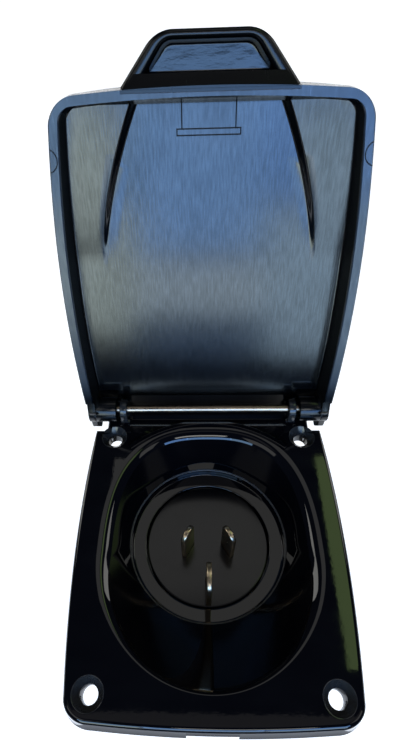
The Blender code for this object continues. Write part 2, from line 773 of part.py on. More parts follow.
def barrel_outline():
    """Side view of a round hinge barrel that hangs from the skin."""
    points = [(-LID_HEEL_LENGTH, FLOOR_Z)]
    points += hinge_arc(BARREL_RADIUS, BARREL_START_TURN, HEEL_TURN + 2 * math.pi, 22)
    return points + [(heel_y(BARREL_RADIUS, SKIN_Z), SKIN_Z), (-LID_HEEL_LENGTH, SKIN_Z)]


def side_end_outline():
    """Side view of the end of a side wall: flat rim, then round about the hinge axis."""
    points = [(-LID_HEEL_LENGTH, RIM_Z)] + hinge_arc(BARREL_RADIUS, SIDE_START_TURN, HEEL_TURN, 14)
    return points + [(heel_y(BARREL_RADIUS, SKIN_Z), SKIN_Z), (-LID_HEEL_LENGTH, SKIN_Z)]


def ear_outline():
    """Side view of the heel at the lid's outer corners, set out open, when it stands in the plate's notch."""
    front = CORNER_NOTCH_Y + HINGE_SIDE_GAP - HINGE_Y
    corners = [(front, EAR_RISE), (front, -EAR_DROP), (EAR_BACK, -EAR_DROP), (EAR_BACK, EAR_RISE)]
    cosine = math.cos(LID_OPEN_ANGLE)
    sine = math.sin(LID_OPEN_ANGLE)
    return [(y * cosine - z * sine, y * sine + z * cosine) for y, z in corners]


def hinge_bars(name, outline, spans, options):
    """Bars of one side view between pairs of places along the hinge axis."""
    bm = bmesh.new()
    for span in spans:
        add_loft(bm, [[(x, y, z) for y, z in outline] for x in sorted(span)])
    return place(name, bm, **options)


def both_sides(inner, outer):
    """The same span of X on the left and on the right."""
    return [(-outer, -inner), (inner, outer)]


def make_lid(axis):
    """Moulded lid: hollow shell, open at its hinge end, with hinge barrels, corner ears and finger pull."""
    options = {"parent": axis}
    lid = lid_solid("lid", LID_HEEL_LENGTH - FIT_GAP, 0, 0, 0, RIM_Z, LID_EDGE_ROUNDING,
                    material="satin charcoal", **options)
    cut(lid, lid_solid("lid_cavity", LID_HEEL_LENGTH - FIT_GAP - OVERCUT, LID_RIM_WIDTH, LID_END_WALL,
                       LID_SKIN, RIM_Z - OVERCUT, LID_EDGE_ROUNDING / 4, **options))
    outer_x = lid_half_width(0)
    wall_x = outer_x - LID_RIM_WIDTH
    bridge_x = LUG_INNER_X - LUG_FOOT_SPREAD - HINGE_SIDE_GAP
    skin_x = BARREL_INNER_X + FIT_GAP
    barrels = both_sides(BARREL_INNER_X, wall_x + FIT_GAP)
    ears = both_sides(outer_x - EAR_WIDTH, outer_x - FIT_GAP)
    weld(lid, hinge_bars("lid_side_ends", side_end_outline(), both_sides(wall_x, outer_x), options))
    weld(lid, hinge_bars("lid_skin_end", skin_end_outline(), [(-skin_x, skin_x)], options))
    weld(lid, hinge_bars("lid_bridge", bridge_outline(), [(-bridge_x, bridge_x)], options))
    weld(lid, hinge_bars("lid_barrels", barrel_outline(), barrels, options))
    weld(lid, hinge_bars("lid_ears", ear_outline(), ears, options))
    weld(lid, make_pull(options))
    reach = hinge_pin_half() + FIT_GAP
    bore = rods("lid_pin_bore", BORE_RADIUS, [((-reach, 0, 0), (reach, 0, 0))], BORE_SIDES, **options)
    cut(lid, make_pull_pocket(options), bore)
    return lid


def pull_solid(name, foot, top, heights, corner, rounding, options):
    """Trapezoid block with rounded corners between two heights; foot and top hold half width and y."""
    low_z, high_z = heights
    bm = bmesh.new()
    corners = [(-foot[0], foot[1]), foot, top, (-top[0], top[1])]
    verts = [bm.verts.new((x, y, low_z)) for x, y in corners]
    bm.faces.new(verts)
    bmesh.ops.bevel(bm, geom=verts[2:], offset=corner, segments=5, profile=0.5, affect="VERTICES")
    grown = bmesh.ops.extrude_face_region(bm, geom=bm.faces[:])
    lifted = [item for item in grown["geom"] if isinstance(item, bmesh.types.BMVert)]
    bmesh.ops.translate(bm, verts=lifted, vec=(0, 0, high_z - low_z))
    if rounding:
        rims = [edge for edge in bm.edges if abs(edge.verts[0].co.z - edge.verts[1].co.z) < OVERCUT / 10]
        bmesh.ops.bevel(bm, geom=rims, offset=rounding, segments=2, profile=0.5, affect="EDGES")
    return place(name, bm, **options)


def make_pull(options):
    """Outside of the finger pull."""
    foot = (PULL_FOOT_HALF, -LID_LENGTH + LID_END_WALL / 2)
    top = (PULL_TOP_HALF, -LID_LENGTH - PULL_LENGTH)
    heights = (RIM_Z + PULL_LIP_SET_BACK, SKIN_Z - PULL_SET_DOWN)
    return pull_solid("pull_body", foot, top, heights, PULL_CORNER_CUT, PULL_ROUNDING, options)


def make_pull_pocket(options):
    """Space behind the pull for a fingertip."""
    foot = (PULL_FOOT_HALF - PULL_SIDE_LIP, -LID_LENGTH - PULL_FOOT_LIP)
    top = (PULL_TOP_HALF - PULL_END_LIP, -LID_LENGTH - PULL_LENGTH + PULL_LIP)
    heights = (RIM_Z - OVERCUT, SKIN_Z - PULL_SET_DOWN - PULL_WEB)
    return pull_solid("pull_pocket", foot, top, heights, PULL_POCKET_CORNER_CUT, 0, options)


def hinge_pin_half():
    """Half length of the hinge pin, which stays inside the lid's barrels."""
    return lid_half_width(0) - SKIRT_WALL


def make_hinge_pin():
    """Plain steel rod through the lugs and the barrels."""
    half = hinge_pin_half()
    return rods("hinge_pin", PIN_RADIUS, [((-half, HINGE_Y, HINGE_Z), (half, HINGE_Y, HINGE_Z))],
                BORE_SIDES, material="bright steel")


# Contact blades: name, place, width, length and turn
LINE_Y = PIN_GROUP_Y + LINE_BLADE_OFFSET * math.cos(math.radians(60))
LINE_X = LINE_BLADE_OFFSET * math.sin(math.radians(60))
EARTH_Y = PIN_GROUP_Y - EARTH_BLADE_OFFSET
BLADES = (
    ("active", (LINE_X, LINE_Y), LINE_BLADE_WIDTH, LINE_BLADE_LENGTH, LINE_BLADE_TURN),
    ("neutral", (-LINE_X, LINE_Y), LINE_BLADE_WIDTH, LINE_BLADE_LENGTH, -LINE_BLADE_TURN),
    ("earth", (0, EARTH_Y), EARTH_BLADE_WIDTH, EARTH_BLADE_LENGTH, 0),
)


def upright(at, turn):
    """Matrix that turns a piece about an upright axis and puts it at a place."""
    return Matrix.Translation((*at, 0)) @ Matrix.Rotation(turn, 4, "Z")


def make_blade(label, at, width, length, turn):
    """Flat contact pin with a chamfered tip."""
    tip_z = DISC_Z + length
    bm = bmesh.new()
    add_box(bm, (-BLADE_THICKNESS / 2, -width / 2, FLANGE_BACK_Z - BLADE_TAIL),
            (BLADE_THICKNESS / 2, width / 2, tip_z))
    tip = [edge for edge in bm.edges if min(v.co.z for v in edge.verts) > tip_z - OVERCUT / 10]
    bmesh.ops.bevel(bm, geom=tip, offset=BLADE_TIP_CHAMFER, segments=2, profile=0.5, affect="EDGES")
    bm.transform(upright(at, turn))
    return place(label + "_pin", bm, material="nickel brass")


def make_terminal(label, at, turn, blade_width):
    """Brass block with a slot for the blade's tail, a wire tunnel and a screw hole."""
    bm = bmesh.new()
    width = max(TERMINAL_WIDTH, blade_width + TERMINAL_SCREW_RADIUS)
    half = Vector((TERMINAL_THICKNESS / 2, width / 2))
    add_box(bm, (-half.x, -half.y, TERMINAL_BACK_Z), (half.x, half.y, TERMINAL_FRONT_Z))
    bm.transform(upright(at, turn))
    terminal = place(label + "_terminal", bm, material="raw brass")
    cuts = bmesh.new()
    slot = Vector((BLADE_THICKNESS / 2 + FIT_GAP, blade_width / 2 + FIT_GAP))
    slot_z = FLANGE_BACK_Z - BLADE_TAIL - FIT_GAP
    add_box(cuts, (-slot.x, -slot.y, slot_z), (slot.x, slot.y, TERMINAL_FRONT_Z + OVERCUT))
    tunnel_z = TERMINAL_BACK_Z + TUNNEL_HEIGHT
    reach = half.x + OVERCUT
    add_rod(cuts, TUNNEL_RADIUS, (-reach, 0, tunnel_z), (reach, 0, tunnel_z))
    cuts.transform(upright(at, turn))
    drill = rods(label + "_terminal_drill", TERMINAL_SCREW_RADIUS + SCREW_GAP,
                 [((*at, TERMINAL_BACK_Z - OVERCUT), (*at, tunnel_z))])
    cut(terminal, place(label + "_terminal_cuts", cuts), drill)
    head_z = TERMINAL_BACK_Z - FIT_GAP - TERMINAL_SCREW_HEAD
    grip = TUNNEL_HEIGHT - TUNNEL_RADIUS + FIT_GAP + TUNNEL_RADIUS / 2
    screw(label + "_terminal_screw", at, head_z, TERMINAL_SCREW_HEAD, TERMINAL_SCREW_HEAD_RADIUS,
          TERMINAL_SCREW_RADIUS, grip)


def make_pin_base():
    """Moulded insert with slots for the blades and barriers between the terminals."""
    base = turned("pin_base", [
        (0, DISC_Z), (DISC_RADIUS - BASE_EDGE, DISC_Z), (DISC_RADIUS, DISC_Z - BASE_EDGE),
        (DISC_RADIUS, FLANGE_FRONT_Z), (BASE_FLANGE_RADIUS, FLANGE_FRONT_Z),
        (BASE_FLANGE_RADIUS, FLANGE_BACK_Z), (0, FLANGE_BACK_Z)], ROUND_SIDES, material="gloss black")
    barrier_y = (EARTH_Y + TERMINAL_WIDTH / 2 + LINE_Y - TERMINAL_WIDTH / 2) / 2
    reach = BASE_BARRIER_REACH
    half = BASE_BARRIER / 2
    top_z = FLANGE_BACK_Z + BASE_FLANGE / 2
    foot_z = FLANGE_BACK_Z - BASE_BARRIER_HEIGHT
    across = box("barrier_across", (-reach, barrier_y - half, foot_z), (reach, barrier_y + half, top_z))
    along = box("barrier_along", (-half, barrier_y, foot_z), (half, reach, top_z))
    weld(base, across, along)
    cuts = bmesh.new()
    low_z = FLANGE_BACK_Z - OVERCUT
    for x, y in base_screw_places():
        add_rod(cuts, BASE_SCREW_RADIUS + SCREW_GAP, (x, y, low_z), (x, y, FLANGE_FRONT_Z + OVERCUT))
    for _, at, width, _, turn in BLADES:
        half_x = BLADE_THICKNESS / 2 + FIT_GAP
        half_y = width / 2 + FIT_GAP
        before = set(cuts.verts)
        add_box(cuts, (-half_x, -half_y, low_z), (half_x, half_y, DISC_Z + OVERCUT))
        slot = [vert for vert in cuts.verts if vert not in before]
        bmesh.ops.transform(cuts, matrix=upright(at, turn), verts=slot)
    cut(base, place("base_slots", cuts))
    return base


def make_base_fasteners():
    """Flat ring seal and the screws that clamp the pin base to the plate."""
    low = FLANGE_FRONT_Z + FIT_GAP
    high = low + BASE_SEAL_THICKNESS
    outer = BASE_FLANGE_RADIUS
    inner = BASE_SEAL_INSIDE_RADIUS
    profile = [(outer, high), (outer, low), (inner, low), (inner, high)]
    seal = turned("base_seal", profile, ROUND_SIDES, loop=True, material="black rubber")
    ends = [((x, y, low - OVERCUT), (x, y, high + OVERCUT)) for x, y in base_screw_places()]
    cut(seal, rods("seal_holes", BASE_SCREW_RADIUS + SCREW_GAP, ends))
    head_z = FLANGE_BACK_Z - FIT_GAP - BASE_SCREW_HEAD
    grip = PLATE_REAR_Z + BASE_SCREW_GRIP - FLANGE_BACK_Z + FIT_GAP
    for number, at in enumerate(base_screw_places(), 1):
        screw(f"base_screw_{number}", at, head_z, BASE_SCREW_HEAD, BASE_SCREW_HEAD_RADIUS,
              BASE_SCREW_RADIUS, grip)


def make_flange_gasket():
    """Foam gasket that fills the hollow behind the flange."""
    top_z = FACE_Z - FRONT_WALL - FIT_GAP
    inset = SKIRT_WALL + SKIRT_LEAN + GASKET_EDGE_GAP
    gasket = loft("flange_gasket", [raised(plate_outline(inset), top_z - GASKET_THICKNESS),
                                    raised(plate_outline(inset), top_z)], material="grey foam")
    grown = BOWL_WALL / 2 + GASKET_BOWL_GAP
    low_drop = FRONT_WALL + FIT_GAP + GASKET_THICKNESS + OVERCUT
    hole = loft("gasket_bowl_hole", [mouth_ring(lambda angle: -grown, lambda angle: low_drop),
                                     mouth_ring(lambda angle: -grown, lambda angle: 0)])
    ends = [((x, y, top_z - GASKET_THICKNESS - OVERCUT), (x, y, top_z + OVERCUT)) for x, y in hole_places()]
    bosses = rods("gasket_boss_holes", BOSS_RADIUS + GASKET_EDGE_GAP, ends, 2 * BORE_SIDES)
    low_x, low_y = corner_block_low()
    start_y = min(low_y - GASKET_EDGE_GAP, HOLE_TOP_Y)
    corners = bmesh.new()
    for side in (-1, 1):
        ends = sorted((side * (low_x - GASKET_EDGE_GAP), side * (PLATE_HALF_WIDTH + OVERCUT)))
        add_box(corners, (ends[0], start_y, top_z - GASKET_THICKNESS - OVERCUT),
                (ends[1], PLATE_TOP_Y + OVERCUT, top_z + OVERCUT))
    cut(gasket, hole, bosses, place("gasket_corners", corners))


def make_rear_cover():
    """Cup over the terminals, with side ears, a cable spout and the clamp pillars."""
    edge = COVER_EDGE_ROUNDING
    inner = COVER_RADIUS - COVER_WALL
    corner = edge * (1 - math.sqrt(0.5))
    profile = [(COVER_RADIUS, COVER_RIM_Z), (COVER_RADIUS, edge), (COVER_RADIUS - corner, corner),
               (COVER_RADIUS - edge, 0), (0, 0), (0, COVER_FLOOR_Z), (inner, COVER_FLOOR_Z),
               (inner, COVER_RIM_Z)]
    cover = turned("rear_cover", profile, ROUND_SIDES, loop=True, material="gloss black")
    ear_z = COVER_RIM_Z - COVER_EAR_THICKNESS
    bridge = COVER_RADIUS - COVER_WALL / 2
    ends = [((x, 0, ear_z), (x, 0, COVER_RIM_Z)) for x in (-COVER_EAR_X, COVER_EAR_X)]
    ears = rods("cover_ears", COVER_EAR_RADIUS, ends, 2 * BORE_SIDES)
    webs = bmesh.new()
    for side in (-1, 1):
        ends = sorted((side * bridge, side * COVER_EAR_X))
        add_box(webs, (ends[0], -COVER_EAR_RADIUS, ear_z), (ends[1], COVER_EAR_RADIUS, COVER_RIM_Z))
    weld(ears, place("cover_ear_webs", webs))
    spout_start = -(COVER_RADIUS - COVER_WALL)
    ends = [((0, spout_start, CABLE_Z), (0, SPOUT_END_Y, CABLE_Z))]
    spout = rods("cable_spout", SPOUT_RADIUS, ends, 2 * BORE_SIDES)
    ends = [((x, CLAMP_Y, COVER_FLOOR_Z / 2), (x, CLAMP_Y, clamp_seat_z())) for x in clamp_screw_xs()]
    weld(cover, ears, spout, rods("clamp_pillars", CLAMP_PILLAR_RADIUS, ends))
    top_z = COVER_RIM_Z + OVERCUT
    foot_z = clamp_seat_z() + OVERCUT
    room = turned("cover_room", [(0, top_z), (inner, top_z), (inner, foot_z), (0, foot_z)], ROUND_SIDES)
    ends = [((0, spout_start + COVER_WALL + OVERCUT, CABLE_Z), (0, SPOUT_END_Y - OVERCUT, CABLE_Z))]
    bore = rods("spout_bore", SPOUT_RADIUS - SPOUT_WALL, ends, 2 * BORE_SIDES)
    holes = bmesh.new()
    for x in (-COVER_EAR_X, COVER_EAR_X):
        add_rod(holes, COVER_SCREW_RADIUS + SCREW_GAP, (x, 0, ear_z - OVERCUT), (x, 0, top_z))
    drill_z = clamp_seat_z() - CLAMP_SCREW_GRIP - SCREW_GAP
    for x in clamp_screw_xs():
        add_rod(holes, CLAMP_SCREW_RADIUS + SCREW_GAP, (x, CLAMP_Y, drill_z), (x, CLAMP_Y, foot_z))
    cut(cover, room, bore, place("cover_holes", holes))
    head_z = ear_z - FIT_GAP - COVER_SCREW_HEAD
    grip = PLATE_REAR_Z + COVER_SCREW_GRIP - ear_z + FIT_GAP
    for label, side in (("left", -1), ("right", 1)):
        screw(f"cover_screw_{label}", (side * COVER_EAR_X, 0), head_z, COVER_SCREW_HEAD,
              COVER_SCREW_HEAD_RADIUS, COVER_SCREW_RADIUS, grip)


def clamp_seat_z():
    """Height of the pillars that carry the cord clamp."""
    return COVER_FLOOR_Z + CLAMP_PILLAR_HEIGHT


def clamp_screw_xs():
    """Places of the two clamp screws along the bar."""
    return (-CLAMP_PILLAR_PITCH / 2, CLAMP_PILLAR_PITCH / 2)


def make_cord_clamp():
    """Bar with two screws that grips the supply cable."""
    low = clamp_seat_z() + FIT_GAP
    high = low + CLAMP_THICKNESS
    bar = box("cord_clamp", (-CLAMP_LENGTH / 2, CLAMP_Y - CLAMP_WIDTH / 2, low),
              (CLAMP_LENGTH / 2, CLAMP_Y + CLAMP_WIDTH / 2, high), material="gloss black")
    ends = [((x, CLAMP_Y, low - OVERCUT), (x, CLAMP_Y, high + OVERCUT)) for x in clamp_screw_xs()]
    cut(bar, rods("clamp_holes", CLAMP_SCREW_RADIUS + SCREW_GAP, ends))
    grip = -(CLAMP_THICKNESS + 2 * FIT_GAP + CLAMP_SCREW_GRIP)
    for label, x in zip(("left", "right"), clamp_screw_xs()):
        screw(f"clamp_screw_{label}", (x, CLAMP_Y), high + FIT_GAP, CLAMP_SCREW_HEAD,
              CLAMP_SCREW_HEAD_RADIUS, CLAMP_SCREW_RADIUS, grip)


def make_cable_grommet():
    """Rubber bush that lines the cable spout, with a lip against its end."""
    radius = SPOUT_RADIUS - SPOUT_WALL - FIT_GAP
    inner_y = -(COVER_RADIUS - COVER_WALL)
    neck = inner_y - SPOUT_END_Y + FIT_GAP
    length = neck + GROMMET_LIP
    lip_radius = SPOUT_RADIUS - FIT_GAP
    grommet = turned("cable_grommet", [
        (lip_radius, length), (lip_radius, neck), (radius, neck), (radius, 0),
        (GROMMET_BORE, 0), (GROMMET_BORE, length)], 2 * BORE_SIDES, loop=True, material="black rubber")
    grommet.location = (0, inner_y, CABLE_Z)
    grommet.rotation_euler.x = math.pi / 2


def shade_smooth():
    """Smooth the round surfaces and keep the real edges sharp."""
    for item in PARTS.objects:
        if item.type == "MESH":
            item.data.shade_smooth()
            item.data.set_sharp_from_angle(angle=math.radians(35))


def main():
    """Build every part of the inlet."""
    axis = bpy.data.objects.new("lid_hinge_axis", None)
    axis.location = (0, HINGE_Y, HINGE_Z)
    axis.rotation_euler.x = -LID_OPEN_ANGLE
    PARTS.objects.link(axis)
    make_front_plate()
    make_lid(axis)
    make_hinge_pin()
    make_pin_base()
    for label, at, width, length, turn in BLADES:
        make_blade(label, at, width, length, turn)
        make_terminal(label, at, turn, width)
    make_base_fasteners()
    make_flange_gasket()
    make_rear_cover()
    make_cord_clamp()
    make_cable_grommet()
    shade_smooth()


main()
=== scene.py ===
"""Looks of a flush power inlet with a hinged weather lid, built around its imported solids.

Lengths are metres in the frame of the solids: +Z out of the front, +Y to the hinge.
"""

import json
import math

import bmesh
import bpy
from bpy.props import FloatProperty, FloatVectorProperty, PointerProperty
from mathutils import Matrix, Vector


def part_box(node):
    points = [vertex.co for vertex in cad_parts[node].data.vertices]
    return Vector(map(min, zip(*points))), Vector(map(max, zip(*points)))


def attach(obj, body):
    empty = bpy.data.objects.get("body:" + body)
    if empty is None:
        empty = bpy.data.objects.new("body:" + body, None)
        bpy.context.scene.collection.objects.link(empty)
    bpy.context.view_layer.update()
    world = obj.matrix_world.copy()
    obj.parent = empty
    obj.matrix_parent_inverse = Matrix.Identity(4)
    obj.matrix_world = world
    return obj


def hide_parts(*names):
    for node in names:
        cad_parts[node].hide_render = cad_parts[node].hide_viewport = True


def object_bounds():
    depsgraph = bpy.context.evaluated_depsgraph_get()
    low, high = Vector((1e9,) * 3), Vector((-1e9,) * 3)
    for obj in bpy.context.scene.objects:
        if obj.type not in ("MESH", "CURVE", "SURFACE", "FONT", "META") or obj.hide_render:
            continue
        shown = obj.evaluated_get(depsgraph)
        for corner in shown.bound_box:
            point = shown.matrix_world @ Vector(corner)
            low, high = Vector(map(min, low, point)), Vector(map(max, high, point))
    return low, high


bl_info = {
    "name": "Weather lid power inlet",
    "version": (1, 0, 0),
    "blender": (4, 5, 0),
    "location": "View3D > Sidebar > Inlet",
    "description": "Dresses the packed solids of a flush power inlet",
    "category": "Object",
}

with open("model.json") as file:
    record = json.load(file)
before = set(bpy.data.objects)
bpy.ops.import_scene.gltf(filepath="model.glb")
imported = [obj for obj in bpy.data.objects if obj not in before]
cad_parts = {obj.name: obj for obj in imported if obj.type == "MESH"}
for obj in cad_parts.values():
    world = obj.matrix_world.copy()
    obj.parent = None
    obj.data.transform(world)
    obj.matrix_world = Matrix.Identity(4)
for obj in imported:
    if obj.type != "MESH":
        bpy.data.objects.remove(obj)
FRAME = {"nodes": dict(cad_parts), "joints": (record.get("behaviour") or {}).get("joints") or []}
CAD_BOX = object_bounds()
HINGE = Vector(FRAME["joints"][0]["pos_m"])
OPEN_TURN = math.radians(FRAME["joints"][0]["range_deg"][1])
REAR_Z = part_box("front_plate")[0].z
BLADE_NODES = ("active_pin", "neutral_pin", "earth_pin")
# Width of the flat strip that keeps a flat face from taking the normals of a rounded edge
HAIR = 0.00015
# How far joined shapes of one mesh reach into each other
OVERLAP = 0.0003
# Witness lines on the lid: a box and a bar as half width, near end and far end, and the width of a line
INSERT_BOX = (0.0070, 0.0837, 0.0906)
INSERT_BAR = (0.0083, 0.0822, 0.0837)
WITNESS_WIDTH = 0.00022
# Round witness line on the lid's rim: place across, place along and radius
KNOCK_OUT = (0.0415, 0.0777, 0.0029)
# How far the back of the pull stays below the skin of the lid
PULL_SET_DOWN = 0.0006
# Half widths over which the lid's free end bows and bulges, half the width of its step, softness of the fade
BOW_HALF = 0.0412
BULGE_HALF = 0.040
STEP_HALF = 0.0009
FADE_SOFT = 0.06
# Contact blades: thickness, width and turn of the line blades, height and roundness of the domed tip
BLADE_THICK = 0.00163
LINE_WIDTH = 0.00635
LINE_TURN = math.radians(30)
TIP_HEIGHT = 0.0022
TIP_ROUND = 0.96
# Heights of the screw ears on the plate and on the rear cover
PLATE_EAR = 0.0078
COVER_EAR = 0.0045
# Room that the lid keeps beside a hinge lug, round it, and at the lower end of the hinge notch
LUG_SIDE_GAP = 0.0010
LUG_ROUND_GAP = 0.0004
NOTCH_GAP = 0.0005
# Pin base: drop of its flange below the plate, the flange's thickness, reach and half width of barriers
BASE_SEAT = 0.0016
BASE_FLANGE = 0.0030
BARRIER_REACH = 0.0142
BARRIER_HALF = 0.0008
# Sides of the barrier across the pin base, and where the other barrier starts inside it
CROSS_BARRIER = (-0.0097, -0.0081)
BARRIER_START = -0.0090
# Depth of the slot around a contact blade, and its gap
SLOT_DEPTH = 0.0035
SLOT_GAP = 0.00022


def length(default, description):
    """A length property in metres."""
    return FloatProperty(description=description, default=default, unit="LENGTH", precision=5)


def tint(default, description):
    """A linear colour property."""
    return FloatVectorProperty(description=description, default=default, size=3, subtype="COLOR",
                               min=0, max=1)


class PlateSizes(bpy.types.PropertyGroup):
    """Sizes of the moulded front plate."""

    face_drop: length(0.00465, "Distance from the hinge axis down to the plate's face")
    half_width: length(0.0412, "Half width at the widest place")
    widest_y: length(-0.0074, "Height on the face where the plate is widest")
    side_bow: length(0.385, "Radius of the bowed sides")
    top_y: length(0.0385, "Place of the straight edge under the hinge")
    bottom_y: length(-0.0563, "Lowest place of the bowed bottom edge")
    bottom_bow: length(0.400, "Radius of the bowed bottom edge")
    corner: length(0.0072, "Radius of the two lower corners")
    skirt: length(0.0070, "Height of the skirt behind the face")
    skirt_wall: length(0.0022, "Thickness of the skirt")
    lean: length(0.0011, "How far the skirt spreads towards its foot")
    face_round: length(0.0013, "Radius of the rounded front edge")
    front_wall: length(0.0030, "Thickness of the face")
    notch_width: length(0.0029, "Width of the hinge notch at the top corners")
    notch_y: length(0.0312, "Lower end of the hinge notch")
    drain_half: length(0.0066, "Half width of the drain notch in the skirt")
    drain_height: length(0.0032, "Height of the drain notch")
    hole_x: length(0.0316, "Sideways place of the mounting holes")
    hole_top: length(0.0271, "Place of the two upper mounting holes")
    hole_bottom: length(-0.0475, "Place of the two lower mounting holes")
    hole_radius: length(0.0024, "Radius of a mounting hole")
    sink_radius: length(0.0042, "Radius of a countersink at the face")
    sink_depth: length(0.0021, "Depth of a countersink")
    boss_radius: length(0.0037, "Radius of the pillar behind a mounting hole")
    rib_radius: length(0.0399, "Outer radius of the arched drip rib")
    rib_y: length(-0.0065, "Centre of the drip rib's arc")
    rib_width: length(0.0017, "Width of the drip rib")
    rib_height: length(0.0008, "Height of the drip rib")
    lug_inner: length(0.0272, "Inner side of a hinge lug")
    lug_width: length(0.0024, "Width of a hinge lug")
    lug_radius: length(0.0033, "Radius of a hinge lug")


class BowlSizes(bpy.types.PropertyGroup):
    """Sizes of the bowl in the front plate."""

    half_width: length(0.0332, "Half width of the mouth")
    top_y: length(0.0312, "Upper end of the mouth")
    bottom_y: length(-0.0475, "Lower end of the mouth")
    middle_y: length(-0.0120, "Place where the mouth is widest")
    lip_high: length(0.0040, "Width of the rounded lip above the middle")
    lip_low: length(0.0009, "Width of the lip at the lower end")
    wall: length(0.0024, "Thickness of the bowl")
    ring_depth: length(0.0245, "Depth of the ring around the pin base")
    ring_radius: length(0.0269, "Outer radius of that ring")
    disc_depth: length(0.0284, "Depth of the pin base")
    disc_radius: length(0.02135, "Radius of the pin base")
    seat_gap: length(0.0003, "Gap around the pin base")
    floor_rise: length(0.0009, "Rise of the ring floor above the pin base")
    sag: length(0.0012, "Hollow of the bowl's wall")


class LidSizes(bpy.types.PropertyGroup):
    """Sizes of the lid, taken in its closed position."""

    overhang: length(0.0012, "How far the lid stands over the plate's sides")
    run: length(0.0930, "Length from the hinge axis to the free end")
    rim_gap: length(0.0005, "Gap between the shut lid and the plate")
    corner: length(0.0060, "Radius of the two free corners")
    bow: length(0.0020, "Bow of the free end")
    depth: length(0.0112, "Depth of the shell")
    skin: length(0.0022, "Thickness of the shell")
    rim: length(0.0027, "Width of the rim")
    edge_round: length(0.0025, "Radius of the outer edge")
    lean: length(0.0006, "How far the walls lean in towards the centre panel")
    bulge: length(0.0009, "How far the end wall stands out beyond the rim")
    heel: length(0.0048, "Length of the hinge end")
    shoulder_drop: length(0.0042, "Height of the step beside the centre panel")
    shoulder_near: length(0.0188, "Place of the step at the free end")
    shoulder_far: length(0.0309, "Place of the step where it has faded")
    shoulder_run: length(0.0506, "Length of the step's curve")
    shoulder_fade: length(0.0426, "Length over which the step fades")
    barrel: length(0.0043, "Radius of the hinge barrels")
    ear_width: length(0.0037, "Width of the ears at the outer corners")
    ear_rise: length(0.0030, "Height of an ear above the axis when the lid is open")
    ear_drop: length(0.0052, "Depth of an ear below the axis when the lid is open")
    ear_back: length(0.0008, "Reach of an ear behind the axis when the lid is open")
    pull_foot: length(0.0226, "Half width of the finger pull at its foot")
    pull_top: length(0.0126, "Half width of the finger pull at its end")
    pull_run: length(0.0112, "Length of the finger pull")
    pull_corner: length(0.0084, "Corner radius of the finger pull")
    pull_lip: length(0.0021, "Width of the lip at the pull's end")
    pull_foot_lip: length(0.0027, "Width of the lip at the pull's foot")
    pull_side_lip: length(0.0073, "How much narrower the hollow is at its foot")
    pull_hollow_corner: length(0.0036, "Corner radius of the pull's hollow")
    pull_set_back: length(0.0022, "How far the pull's lip stays below the rim")
    pull_web: length(0.0022, "Thickness of the pull's web")
    pull_round: length(0.0014, "Edge radius of the finger pull")


class RearSizes(bpy.types.PropertyGroup):
    """Sizes of the rear cover and what it carries."""

    radius: length(0.0293, "Outer radius of the rear cover")
    wall: length(0.0021, "Wall of the rear cover")
    floor: length(0.0024, "Thickness of the flat back")
    edge_round: length(0.0020, "Radius of the edge around the back")
    ear_x: length(0.0320, "Place of the screw ears")
    ear_radius: length(0.0040, "Radius of a screw ear")
    cable_z: length(0.0090, "Height of the cable entry")
    spout_radius: length(0.0082, "Outer radius of the cable spout")
    spout_wall: length(0.0018, "Wall of the cable spout")
    spout_end: length(-0.0370, "End of the cable spout")


class InletColours(bpy.types.PropertyGroup):
    """Colours of the finishes."""

    plate: tint((0.0016, 0.0018, 0.0032), "Polished black moulding")
    lid: tint((0.012, 0.015, 0.019), "Satin charcoal moulding")
    cover: tint((0.010, 0.010, 0.011), "Satin black moulding")
    steel: tint((0.46, 0.37, 0.28), "Drawn steel of the hinge pin")
    contact: tint((0.80, 0.64, 0.43), "Washed brass of the contact blades")
    brass: tint((0.72, 0.50, 0.20), "Raw brass of the terminals")
    zinc: tint((0.56, 0.57, 0.60), "Zinc plated screws")
    rubber: tint((0.016, 0.016, 0.016), "Black rubber")
    foam: tint((0.055, 0.055, 0.055), "Grey foam")


